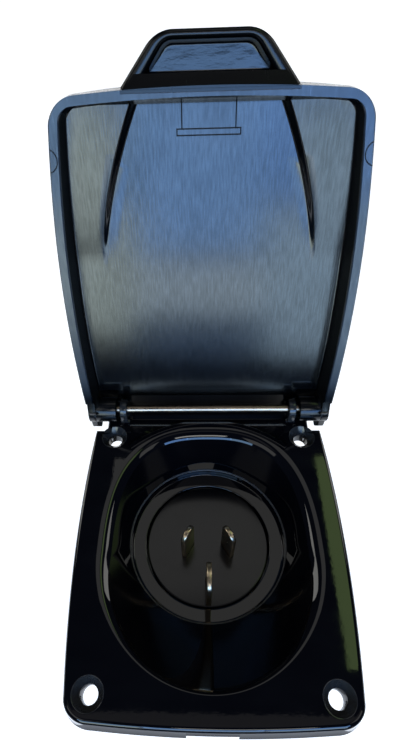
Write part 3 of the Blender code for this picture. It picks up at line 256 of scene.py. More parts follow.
class Skin:
    """A mesh that grows ring by ring; each vertex remembers its place in the ring."""

    def __init__(self):
        self.bm = bmesh.new()
        self.place = self.bm.verts.layers.int.new("place")

    def ring(self, points):
        """Start a closed ring of edges through the points."""
        verts = bmesh.ops.create_circle(self.bm, segments=len(points), radius=1)["verts"]
        for index, (vert, point) in enumerate(zip(verts, points)):
            vert[self.place] = index
            vert.co = point
        return list({edge for vert in verts for edge in vert.link_edges})

    def grow(self, edges, *rings):
        """Extrude a ring of edges through further rings of as many points."""
        for points in rings:
            made = bmesh.ops.extrude_edge_only(self.bm, edges=edges)["geom"]
            for item in made:
                if isinstance(item, bmesh.types.BMVert):
                    item.co = points[item[self.place]]
            edges = [item for item in made if isinstance(item, bmesh.types.BMEdge)]
        return edges

    def fill(self, *loops):
        """Fill the flat region between closed loops of edges."""
        edges = [edge for loop in loops for edge in loop]
        bmesh.ops.triangle_fill(self.bm, use_beauty=True, edges=edges)

    def cap(self, edges):
        """Close a loop of edges with one face."""
        bmesh.ops.edgeloop_fill(self.bm, edges=edges)

    def prism(self, start, *rings):
        """Closed solid from one ring of points through others; gives the edges of its two ends."""
        first = self.ring(start)
        last = self.grow(first, *rings)
        self.cap(first)
        self.cap(last)
        return first, last

    def bar(self, outline, start, end, round_off=0.0):
        """Closed bar of one outline in the Y Z plane between two places along X."""
        first, last = self.prism(*[[(x, y, z) for y, z in outline] for x in (start, end)])
        if round_off:
            bevel(self.bm, first + last, round_off, 3)

    def block(self, low, high, round_off=0.0):
        """Closed block between two corners, with rounded edges."""
        low = Vector(low)
        high = Vector(high)
        matrix = Matrix.Translation((low + high) / 2) @ Matrix.Diagonal((*(high - low), 1))
        verts = bmesh.ops.create_cube(self.bm, size=1, matrix=matrix)["verts"]
        if round_off:
            bevel(self.bm, list({edge for vert in verts for edge in vert.link_edges}), round_off, 2)

    def turn(self, profile, centre, axis, steps=72):
        """Closed turned solid: a profile of points is spun once round an axis."""
        verts = [self.bm.verts.new(point) for point in profile]
        edges = [self.bm.edges.new(pair) for pair in zip(verts, verts[1:])]
        bmesh.ops.spin(self.bm, geom=verts + edges, cent=centre, axis=axis, angle=2 * math.pi, steps=steps,
                       use_merge=True)

    def piece(self, name, body, replaced, material, matrix=None, crease=32):
        """Make the object, let it ride on its body and stand for the solids that it replaces."""
        bmesh.ops.remove_doubles(self.bm, verts=self.bm.verts, dist=0.000002)
        bmesh.ops.recalc_face_normals(self.bm, faces=self.bm.faces)
        if matrix:
            self.bm.transform(matrix)
        mesh = bpy.data.meshes.new(name)
        self.bm.to_mesh(mesh)
        self.bm.free()
        mesh.shade_smooth()
        mesh.set_sharp_from_angle(angle=math.radians(crease))
        mesh.materials.append(material)
        item = bpy.data.objects.new(name, mesh)
        bpy.context.scene.collection.objects.link(item)
        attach(item, body)
        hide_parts(*replaced)


def bevel(bm, edges, offset, segments):
    """Round edges off."""
    bmesh.ops.bevel(bm, geom=edges, offset=offset, offset_type="OFFSET", segments=segments, profile=0.5,
                    affect="EDGES", material=-1, clamp_overlap=True)


class Shade:
    """A shader socket whose arithmetic adds Math nodes."""

    def __init__(self, tree, socket=None):
        self.tree = tree
        self.socket = socket

    def node(self, kind, settings, inputs, output=0):
        """Add a node: its settings first, then the values or links of its sockets."""
        made = self.tree.nodes.new(kind)
        for key, value in settings.items():
            setattr(made, key, value)
        for key, value in inputs.items():
            if isinstance(value, Shade):
                self.tree.links.new(value.socket, made.inputs[key])
            else:
                made.inputs[key].default_value = value
        return Shade(self.tree, made.outputs[output])

    def math(self, operation, *values):
        """Math node on this socket and other values."""
        return self.node("ShaderNodeMath", {"operation": operation}, dict(enumerate((self, *values))))

    def __add__(self, other):
        return self.math("ADD", other)

    def __sub__(self, other):
        return self.math("SUBTRACT", other)

    def __rsub__(self, other):
        return self.node("ShaderNodeMath", {"operation": "SUBTRACT"}, {0: other, 1: self})

    def __mul__(self, other):
        return self.math("MULTIPLY", other)

    def __truediv__(self, other):
        return self.math("DIVIDE", other)

    __radd__ = __add__

    def absolute(self):
        """Distance from zero."""
        return self.math("ABSOLUTE")

    def least(self, other):
        """The smaller of two values."""
        return self.math("MINIMUM", other)

    def most(self, other):
        """The larger of two values."""
        return self.math("MAXIMUM", other)

    def ramp(self, low, high):
        """Ease from 0 to 1 as the value goes from low to high."""
        return self.node("ShaderNodeMapRange", {"interpolation_type": "SMOOTHSTEP"},
                         {"Value": self, "From Min": low, "From Max": high})

    def fall(self, low, high):
        """Ease from 1 to 0 as the value goes from low to high."""
        return 1 - self.ramp(low, high)

    def band(self, rise, drop):
        """Ease from 0 to 1 over one range and back to 0 over another."""
        return self.ramp(*rise) * self.fall(*drop)

    def hypot(self, other):
        """Distance from two legs at a right angle."""
        return (self * self + other * other).math("SQRT")

    def coordinates(self):
        """Place on the piece in its own coordinates."""
        return self.node("ShaderNodeTexCoord", {}, {}, "Object")

    def parts(self):
        """The three parts of a vector."""
        return [self.node("ShaderNodeSeparateXYZ", {}, {"Vector": self}, index) for index in range(3)]

    def noise(self, scale, stretch=(1, 1, 1), detail=4.0, turn=0.0):
        """Noise on the piece's own coordinates, stretched and turned about X."""
        inputs = {"Vector": self.coordinates(), "Rotation": (turn, 0, 0), "Scale": stretch}
        place = self.node("ShaderNodeMapping", {}, inputs)
        return self.node("ShaderNodeTexNoise", {}, {"Vector": place, "Scale": scale, "Detail": detail}, "Fac")

    def between(self, first, second):
        """Colour that goes from the first to the second as the value goes from 0 to 1."""
        return self.node("ShaderNodeMix", {"data_type": "RGBA"},
                         {"Factor": self, 6: (*first, 1), 7: (*second, 1)}, 2)

    def bump(self, strength, depth):
        """Normal from this value taken as a height."""
        return self.node("ShaderNodeBump", {}, {"Strength": strength, "Distance": depth, "Height": self})


def finish(name, constants, recipe):
    """Material whose constants stand on the shader and whose recipe links what varies over the surface."""
    material = bpy.data.materials.new(name)
    material.use_nodes = True
    tree = material.node_tree
    shader = tree.nodes["Principled BSDF"]
    for key, value in constants.items():
        shader.inputs[key].default_value = value
    for key, value in recipe(Shade(tree)).items():
        tree.links.new(value.socket, shader.inputs[key])
    return material


def scaled(colour, factor):
    """Colour times a factor."""
    return tuple(part * factor for part in colour)


def polished_black(name, colour, rough, paler_places=None):
    """Polished black moulding with faint handling smears; the optional mask gives places made paler and
    rougher, which on the plate are wear and painted highlights.
    """

    def recipe(shade):
        smear = shade.noise(55, (1, 2.5, 1), 5)
        fine = shade.noise(900, detail=3)
        grain = smear.ramp(0.35, 0.75)
        wear_and_painted_highlight = paler_places(shade) * (0.5 + fine) if paler_places else grain * 0
        # Paler towards grey where the mask says so: wear, with a painted highlight on the well's edge and a
        # painted sheen in the countersinks
        return {"Base Color": (grain * 0.02 + wear_and_painted_highlight * 0.9).between(scaled(colour, 0.8), (0.055, 0.055, 0.055)),
                "Roughness": rough + grain * 0.03 + fine * 0.01 + wear_and_painted_highlight * 0.35,
                "Normal": (smear * 0.7 + fine * 0.3).bump(0.02, 0.0004)}

    return finish(name, {"Specular IOR Level": 0.5, "IOR": 1.5}, recipe)


def plate_wear_and_painted_highlight(plate, bowl):
    """Mask of the places on the plate that are paler and rougher: countersinks, from wear and with a painted
    grey sheen, a painted highlight line round the edge of the well, and the lugs.
    """

    def mask(shade):
        x, y, z = shade.coordinates().parts()
        face_z = HINGE.z - plate.face_drop
        # Countersinks: wear, and a painted grey sheen
        side = x.absolute() - plate.hole_x
        near = (y - plate.hole_top).absolute().least((y - plate.hole_bottom).absolute())
        sinks = side.hypot(near).fall(plate.sink_radius, plate.sink_radius + 0.0001)
        # Thin line round the top of the well, painted paler as a highlight of that edge
        reach = (x.hypot(y) - bowl.ring_radius + 0.0002).absolute()
        height = (z - face_z + bowl.ring_depth).absolute()
        edge = reach.most(height).fall(0.0002, 0.0004)
        lugs = z.ramp(face_z + 0.0010, face_z + 0.0014) * 0.35
        return (sinks * 0.4).most(edge).most(lugs)

    return mask


def lid_place(shade):
    """Place on the lid as three values: across, along from the hinge axis, and outwards."""
    place = shade.node("ShaderNodeVectorMath", {"operation": "SUBTRACT"}, {0: shade.coordinates(), 1: HINGE})
    inputs = {"Vector": place, "Rotation": (OPEN_TURN, 0, 0)}
    across, along, outward = shade.node("ShaderNodeMapping", {"vector_type": "POINT"}, inputs).parts()
    return across, along * -1.0, outward


def line_box(aside, along, box):
    """Mask of a thin rectangle drawn on the lid: box is half width, near end and far end."""
    half, near, far = box
    end = (along - (near + far) / 2).absolute() - (far - near) / 2
    return (aside - half).most(end).absolute().fall(WITNESS_WIDTH * 0.4, WITNESS_WIDTH)


def satin_lid(colour, plate, sizes, web_z):
    """Satin charcoal moulding: drag lines along the panel, waves on the pull's web, a rim paler from wear,
    and rough inner side walls; the walls and the pull keep the darkest colour as painted shade.
    """

    def recipe(shade):
        across, along, outward = lid_place(shade)
        aside = across.absolute()
        noises = ((2600, 0.09, 3), (1300, 0.16, 4), (70, 0.6, 4), (260, 2.4, 3))
        drag, broad, cloud, wave = [shade.noise(scale, (1, stretch, stretch), detail, OPEN_TURN)
                                    for scale, stretch, detail in noises]
        foot = along.ramp(sizes.run - 0.0014, sizes.run - 0.0012) * aside.fall(0.0212, 0.0216)
        pull = along.ramp(sizes.run + 0.0001, sizes.run + 0.0004).most(foot)
        panel = 1 - pull
        web = pull * outward.ramp(web_z - 0.0005, web_z - 0.0002)
        lip = pull - web
        rim = outward.fall(-0.0040, -0.0036) * panel
        knock = ((aside - KNOCK_OUT[0]).hypot(along - KNOCK_OUT[1]) - KNOCK_OUT[2]).absolute()
        inner = outward.band((0.0040, 0.0044), (0.0055, 0.0060))
        insert = line_box(aside, along, INSERT_BOX).most(line_box(aside, along, INSERT_BAR))
        witness = (insert * inner).most(knock.fall(0.00008, 0.00020) * rim)
        streak = drag * 0.7 + broad * 0.3
        hinge = along.fall(0.007, 0.021)
        barrel = along.fall(0.0046, 0.0060)
        middle = along - (HINGE.y - plate.widest_y)
        reach = plate.half_width + sizes.overhang - sizes.rim - middle * middle / (2 * plate.side_bow)
        # Inner side walls: rough and without coat, and darker in colour as painted shade
        wall = (reach - aside).band((-0.0004, -0.0001), (0.0009, 0.0013)) * panel
        wall = wall * outward.ramp(-0.0036, -0.0030) * outward.fall(0.0036, 0.0042)
        # The rim is paler and rougher from wear, except at the hinge end
        paler_places = rim * along.ramp(0.004, 0.015) * (1 - witness)
        mottle = (streak * 0.75 + cloud * 0.25).ramp(0.34, 0.66)
        sheen = panel * (0.28 + mottle * 0.46 - paler_places * 0.2) * (1 - witness) * (1 - wall)
        sheen = sheen * (1 - hinge * 0.9) + web * 0.3 + lip * 0.05
        rough = 0.10 + streak * 0.08 + cloud * 0.04 + paler_places * 0.1 + witness * 0.6 + lip * 0.10
        rough = rough + barrel * 0.10 - hinge * 0.06 + wall * 0.4
        height = panel * (streak * 0.5 + cloud * 0.5 - witness * 1.5) + web * wave * 1.3
        # Mottle tone only on the panel, so the pull and the inner side walls stay at the darkest colour:
        # painted shade
        tone = mottle * panel * (1 - wall) * 0.05 + paler_places * 0.8
        return {"Base Color": tone.between(scaled(colour, 0.06), scaled(colour, 3.4)),
                "Roughness": rough,
                "Coat Weight": sheen,
                "Normal": height.bump(0.14, 0.0004)}

    return finish("satin charcoal", {"Specular IOR Level": 0.32, "Coat Roughness": 0.15}, recipe)


def satin_black(colour):
    """Satin black moulding of the rear cover, with a fine spark finish."""

    def recipe(shade):
        spark = shade.noise(1600, detail=2)
        cloud = shade.noise(45, detail=4)
        return {"Base Color": cloud.ramp(0.3, 0.7).between(scaled(colour, 0.8), scaled(colour, 1.4)),
                "Roughness": 0.34 + spark * 0.12 + cloud * 0.06,
                "Normal": spark.bump(0.12, 0.0002)}

    return finish("satin black", {"Specular IOR Level": 0.5}, recipe)


def drawn_metal(name, colour, rough, stretch, wear):
    """Metal with draw marks along one direction and a patchy tarnish."""

    def recipe(shade):
        marks = shade.noise(500, stretch, 4)
        patch = shade.noise(160, detail=4)
        tone = (marks * 0.5 + patch * 0.6).ramp(0.30, 0.80)
        return {"Base Color": tone.between(scaled(colour, wear), colour),
                "Roughness": rough + marks * 0.14 + patch * 0.08,
                "Normal": marks.bump(0.05, 0.0002)}

    return finish(name, {"Metallic": 1.0}, recipe)


def soft_black(name, colour, rough, scale):
    """Rubber or foam: dull, with a fine pitted skin."""

    def recipe(shade):
        pits = shade.noise(scale, detail=3)
        dust = shade.noise(70, detail=4)
        return {"Base Color": dust.ramp(0.3, 0.75).between(scaled(colour, 0.8), scaled(colour, 1.7)),
                "Roughness": rough + dust * 0.1,
                "Normal": pits.bump(0.35, 0.0003)}

    return finish(name, {"Specular IOR Level": 0.35}, recipe)


def lerp(first, second, share):
    """Point between two points."""
    return tuple(a + (b - a) * share for a, b in zip(first, second))


def smooth(value):
    """Ease from 0 to 1."""
    value = min(1, max(0, value))
    return value * value * (3 - 2 * value)


def arc_steps(count):
    """Sine and cosine over a quarter turn in equal steps, without the first."""
    turns = [math.pi / 2 * (step + 1) / count for step in range(count)]
    return [(math.sin(turn), math.cos(turn)) for turn in turns]


def arc(radius, first, last, steps, at=(0, 0)):
    """Points of an arc about a place, between two turns in degrees."""
    turns = [math.radians(first + (last - first) * step / steps) for step in range(steps + 1)]
    return [(at[0] + radius * math.cos(turn), at[1] + radius * math.sin(turn)) for turn in turns]


def around(sides):
    """Turns of a full circle in equal steps."""
    return [2 * math.pi * index / sides for index in range(sides)]


def plate_width(plate, y):
    """Half width of the bow-sided plate."""
    return plate.half_width - (y - plate.widest_y) ** 2 / (2 * plate.side_bow)


def plate_outline(plate, inset):
    """Closed outline of the plate with its hinge notches, drawn in by an inset."""
    foot_x = plate_width(plate, plate.bottom_y) - plate.corner
    foot_y = plate.bottom_y + foot_x ** 2 / (2 * plate.bottom_bow)
    side_y = foot_y + plate.corner
    drain = plate.drain_half
    xs = [drain * step / 3 for step in range(3)] + [drain - 0.00001, drain + 0.00001]
    xs += [drain + (foot_x - drain) * step / 10 for step in range(1, 10)]
    half = [(x, plate.bottom_y + x ** 2 / (2 * plate.bottom_bow) + inset) for x in xs]
    side_x = plate_width(plate, side_y)
    for step in range(15):
        turn = math.pi / 2 * step / 14
        half.append((foot_x + (side_x - inset - foot_x) * math.sin(turn),
                     side_y - (side_y - foot_y - inset) * math.cos(turn)))
    notch_y = plate.notch_y - inset
    for step in range(1, 29):
        y = side_y + (notch_y - side_y) * step / 28
        half.append((plate_width(plate, y) - inset, y))
    notch_x = plate_width(plate, plate.top_y) - plate.notch_width - inset
    top_y = plate.top_y - inset
    half += [(notch_x, notch_y), (notch_x, top_y)]
    half += [(notch_x * step / 6, top_y) for step in range(5, 0, -1)]
    return half + [(0, top_y)] + [(-x, y) for x, y in reversed(half[1:])]


def lifted(outline, z):
    """Flat outline at a height."""
    return [(x, y, z) for x, y in outline]


def mouth_point(bowl, turn):
    """Point of the bowl's mouth on the face: squarer above its middle, elliptical below."""
    cosine = math.cos(turn)
    sine = math.sin(turn)
    power = 2 / 2.6 if sine >= 0 else 1
    reach = bowl.top_y - bowl.middle_y if sine >= 0 else bowl.middle_y - bowl.bottom_y
    x = bowl.half_width * math.copysign(abs(cosine) ** power, cosine)
    y = bowl.middle_y + reach * math.copysign(abs(sine) ** power, sine)
    return Vector((x, y))


MOUTH_TURNS = around(256)
HOLE_TURNS = around(48)
BASE_TURNS = around(128)
LIP_END = math.radians(50)


def lip_width(bowl, turn):
    """Width of the rounded lip: full above the middle, nearly sharp at the foot."""
    return bowl.lip_low + (bowl.lip_high - bowl.lip_low) * min(1, 1 + math.sin(turn))


def mouth_ring(bowl, inset, z):
    """Ring of the mouth, drawn in along its normals; inset and height depend on the turn."""
    small = 0.004
    ring = []
    for turn in MOUTH_TURNS:
        along = mouth_point(bowl, turn + small) - mouth_point(bowl, turn - small)
        inward = Vector((-along.y, along.x)).normalized()
        point = mouth_point(bowl, turn) + inward * inset(turn)
        ring.append((point.x, point.y, z(turn)))
    return ring


def circle(radius, z, turns=MOUTH_TURNS, at=(0, 0)):
    """Circle about the axis of the pin base or about another place, by default in step with the mouth."""
    return [(at[0] + radius * math.cos(turn), at[1] + radius * math.sin(turn), z) for turn in turns]


def lip_point(bowl, at, share):
    """Inset and drop of the round lip, which ends in a crease."""
    radius = lip_width(bowl, at) / math.sin(LIP_END)
    turn = LIP_END * share
    return radius * math.sin(turn), radius * (1 - math.cos(turn))


def bowl_rings(bowl, face_z):
    """Inside of the bowl from its mouth down to the seat of the pin base, then its outside."""
    rings = []
    for share in [step / 12 for step in range(13)]:
        rings.append(mouth_ring(bowl, lambda at: lip_point(bowl, at, share)[0],
                                lambda at: face_z - lip_point(bowl, at, share)[1]))
    ring_z = face_z - bowl.ring_depth
    lip = rings[-1]
    foot = circle(bowl.ring_radius, ring_z)
    for step in range(1, 19):
        share = step / 18
        sag = bowl.sag * 4 * share * (1 - share)
        ring = []
        for turn, start, end in zip(MOUTH_TURNS, lip, foot):
            x, y, z = lerp(start, end, share)
            ring.append((x, y, z - sag * max(0, -math.sin(turn))))
        rings.append(ring)
    edge = bowl.ring_radius
    seat = bowl.disc_radius + bowl.seat_gap
    disc_z = face_z - bowl.disc_depth
    floor_z = disc_z + bowl.floor_rise
    well = ((0.00018, 0.00003), (0.00034, 0.00012), (0.00044, 0.0003))
    corner = ((0.0006, 0.0008), (0.0007, 0.0003), (0.00085, 0.0001), (0.0011, 0), (0.0011 + HAIR, -0.00001))
    rim = ((0.0003 + HAIR, 0.00031), (0.0003, 0.0003), (0.0001, 0.00022), (0, 0.0001))
    stations = [(edge - inset, ring_z - drop) for inset, drop in well]
    stations += [(edge - inset, floor_z + rise) for inset, rise in corner]
    stations += [(seat + out, disc_z + rise) for out, rise in rim]
    stations.append((seat, REAR_Z))
    outside = bowl.ring_radius + bowl.wall
    stations += [(outside - 0.0003, REAR_Z), (outside, REAR_Z + 0.0003), (outside, ring_z)]
    return rings + [circle(radius, z) for radius, z in stations]


def add_ears(skin, rear, inner, low, high, round_top):
    """Ears on both sides that take the cover screws, rounded at their upper or lower end."""
    for side in (-1, 1):
        outline = [(side * x, y) for x, y in arc(rear.ear_radius, -90, 90, 24, (rear.ear_x, 0))]
        outline += [(side * inner, rear.ear_radius), (side * inner, -rear.ear_radius)]
        first, last = skin.prism(lifted(outline, low), lifted(outline, high))
        bevel(skin.bm, last if round_top else first, 0.0006, 3)


class INLET_OT_front_plate(bpy.types.Operator):
    """Model the polished front plate with its bowl, lugs and drip rib"""

    bl_idname = "inlet.front_plate"
    bl_label = "Front plate"

    def execute(self, context):
        plate = context.scene.inlet_plate
        bowl = context.scene.inlet_bowl
        rear = context.scene.inlet_rear
        skin = Skin()
        face_z = HINGE.z - plate.face_drop
        hollow_z = face_z - plate.front_wall
        face_edge = skin.ring(lifted(plate_outline(plate, plate.lean + plate.face_round + HAIR), face_z))
        mouth = skin.ring(mouth_ring(bowl, lambda at: -HAIR, lambda at: face_z))
        holes = [(x, y) for y in (plate.hole_top, plate.hole_bottom) for x in (-plate.hole_x, plate.hole_x)]
        sinks = [skin.ring(circle(plate.sink_radius + HAIR, face_z, HOLE_TURNS, at)) for at in holes]
        skin.fill(face_edge, mouth, *sinks)
        hollow_edge = self.grow_skirt(skin, plate, face_edge, face_z)
        bosses = [self.grow_hole(skin, plate, at, sink, face_z) for at, sink in zip(holes, sinks)]
        rings = bowl_rings(bowl, face_z)
        outside = mouth_ring(bowl, lambda at: lip_width(bowl, at) - bowl.wall,
                             lambda at: hollow_z - lip_width(bowl, at) - bowl.wall / 2)
        rings += [outside, mouth_ring(bowl, lambda at: -bowl.wall / 2, lambda at: hollow_z)]
        skin.fill(skin.grow(mouth, *rings), hollow_edge, *bosses)
        self.add_lugs(skin, plate, face_z)
        self.add_rib(skin, plate, face_z)
        add_ears(skin, rear, rear.radius - rear.wall, REAR_Z, REAR_Z + PLATE_EAR, round_top=True)
        material = polished_black("polished black", context.scene.inlet_colours.plate, 0.012,
                                  plate_wear_and_painted_highlight(plate, bowl))
        skin.piece("polished_plate", "base", ["front_plate"], material)
        return {"FINISHED"}

    def grow_skirt(self, skin, plate, edge, face_z):
        """Round the front edge over, run the skirt down and turn it back up; gives its inner edge."""
        skirt_z = face_z - plate.skirt
        hollow_z = face_z - plate.front_wall
        rings = [lifted(plate_outline(plate, plate.lean + plate.face_round), face_z)]
        for sine, cosine in arc_steps(7):
            inset = plate.lean + plate.face_round * (1 - sine)
            rings.append(lifted(plate_outline(plate, inset), face_z - plate.face_round * (1 - cosine)))
        small = 0.0002
        for inset, z in ((small, skirt_z + small * 4), (0, skirt_z + small), (small, skirt_z),
                         (plate.skirt_wall, skirt_z), (plate.skirt_wall + 0.0008, hollow_z)):
            ring = []
            raised = plate_outline(plate, inset + plate.lean * plate.drain_height / plate.skirt)
            for (x, y), high in zip(plate_outline(plate, inset), raised):
                if y < 0 and abs(x) < plate.drain_half and z < hollow_z:
                    ring.append((*high, z + plate.drain_height))
                else:
                    ring.append((x, y, z))
            rings.append(ring)
        return skin.grow(edge, *rings)

    def grow_hole(self, skin, plate, at, edge, face_z):
        """Countersink, bore and boss of a mounting hole."""
        sink_z = face_z - plate.sink_depth
        skirt_z = face_z - plate.skirt
        steps = [(plate.sink_radius, face_z), (plate.sink_radius - 0.00012, face_z - 0.00005),
                 (plate.sink_radius - 0.0002, face_z - 0.0002),
                 (plate.hole_radius + 0.00012, sink_z + 0.0001), (plate.hole_radius, sink_z - 0.0001),
                 (plate.hole_radius, skirt_z),
                 (plate.boss_radius, skirt_z), (plate.boss_radius, face_z - plate.front_wall)]
        return skin.grow(edge, *[circle(radius, z, HOLE_TURNS, at) for radius, z in steps])

    def add_lugs(self, skin, plate, face_z):
        """Two hinge lugs with spread feet."""
        radius = plate.lug_radius
        bury = plate.front_wall / 2
        spread = 0.0005
        outline = [(HINGE.y + radius, face_z - bury), *arc(radius, 0, 180, 24, (HINGE.y, HINGE.z)),
                   (HINGE.y - radius, face_z - bury)]
        for side in (-1, 1):
            inner = side * plate.lug_inner
            outer = side * (plate.lug_inner + plate.lug_width)
            skin.bar(outline, inner, outer, 0.0003)
            skin.block((min(inner, outer) - spread, HINGE.y - radius + spread, face_z - bury / 2),
                       (max(inner, outer) + spread, HINGE.y + radius - spread, face_z + 0.0007), 0.0003)

    def add_rib(self, skin, plate, face_z):
        """Low arched rib with a flat back, spun round its own centre."""
        reach = math.radians(41.5)
        outer = plate.rib_radius
        inner = outer - plate.rib_width
        high = face_z + plate.rib_height
        soft = 0.00014
        half = [(0, face_z - 0.0006), (0, high - soft), (0.00004, high - 0.00004), (soft, high),
                (soft + HAIR, high)]
        section = [(outer - inset, z) for inset, z in half]
        section += [(inner + inset, z) for inset, z in reversed(half)]
        turn = math.pi / 2 - reach
        edges = skin.ring([(r * math.cos(turn), plate.rib_y + r * math.sin(turn), z) for r, z in section])
        verts = list({vert for edge in edges for vert in edge.verts})
        made = bmesh.ops.spin(skin.bm, geom=verts + edges, cent=(0, plate.rib_y, 0), axis=(0, 0, 1),
                              angle=2 * reach, steps=96)["geom_last"]
        skin.cap(edges)
        skin.cap([item for item in made if isinstance(item, bmesh.types.BMEdge)])


def lid_width(context, run):
    """Half width of the lid at a distance from the hinge axis."""
    return plate_width(context.scene.inlet_plate, HINGE.y - run) + context.scene.inlet_lid.overhang


def lid_levels(context):
    """Heights of the rim and of the outer skin about the hinge axis."""
    rim_z = context.scene.inlet_lid.rim_gap - context.scene.inlet_plate.face_drop
    return rim_z, rim_z + context.scene.inlet_lid.depth


def lid_section(lid, run, half_width, top_z, edge_in, bottom_z, rounding, lean, bulge):
    """Closed cross-section of the lid: chamfered foot, side wall, shoulder, step and centre panel."""
    end = lid.run - lid.skin
    share = 1 - min(1, max(0, (end - run) / lid.shoulder_run))
    step_x = lid.shoulder_far - (lid.shoulder_far - lid.shoulder_near) * share ** 2
    ramp = max(0, run - end + lid.shoulder_fade) / lid.shoulder_fade
    low = top_z - lid.shoulder_drop * min(1, ramp * ramp / (ramp + FADE_SOFT) * (1 + FADE_SOFT))
    inner = min(step_x - STEP_HALF, half_width * 0.80)
    outer = min(step_x + STEP_HALF, half_width * 0.86)
    half = [(half_width - edge_in, bottom_z), (half_width, bottom_z + abs(edge_in))]
    half.append((half_width - lean, low - rounding))
    for sine, cosine in arc_steps(7):
        half.append((half_width - lean - rounding * (1 - cosine), low - rounding * (1 - sine)))
    start = half[-1][0]
    half += [(start + (outer - start) * step / 5, low) for step in range(1, 5)]
    for step in range(9):
        ease = step / 8
        half.append((outer + (inner - outer) * ease, low + (top_z - low) * smooth(ease)))
    half += [(inner * (1 - step / 8), top_z) for step in range(1, 8)]
    ring = half + [(0, top_z)] + [(-x, z) for x, z in reversed(half)]
    foot = half[0][0]
    ring += [(foot * (step / 10 - 1), bottom_z) for step in range(1, 20)]
    points = []
    for x, z in ring:
        bow = lid.bow * (x / BOW_HALF) ** 2 * smooth((run - lid.run / 2) / (lid.run / 2))
        out = bulge * max(0, 1 - (x / BULGE_HALF) ** 4) * smooth((z - bottom_z) / 0.003)
        points.append((x, bow - run - out, z))
    return points


def lid_rings(context, wall_x, wall_end, skin, edge_in, rounding, lean, bulge):
    """Cross-sections of the lid's outside, or of the space inside it, along its length."""
    lid = context.scene.inlet_lid
    rim_z, skin_z = lid_levels(context)
    start = lid.heel - 0.0003
    end = lid.run - wall_end
    radius = max(lid.corner - wall_x, 2 * rounding)
    top_z = skin_z - skin
    rings = []
    for step in range(61):
        turn = math.pi / 2 * max(0, step - 40) / 20
        run = start + (end - radius - start) * min(step, 40) / 40 + radius * math.sin(turn)
        width = lid_width(context, run) - wall_x - radius * (1 - math.cos(turn))
        over = max(0, run - (end - rounding)) / rounding
        drop = rounding * (1 - math.sqrt(max(0, 1 - over ** 2)))
        out = bulge * smooth((run - end + 0.006) / 0.006)
        rings.append(lid_section(lid, run, width, top_z - drop, edge_in, rim_z, rounding, lean, out))
    return rings


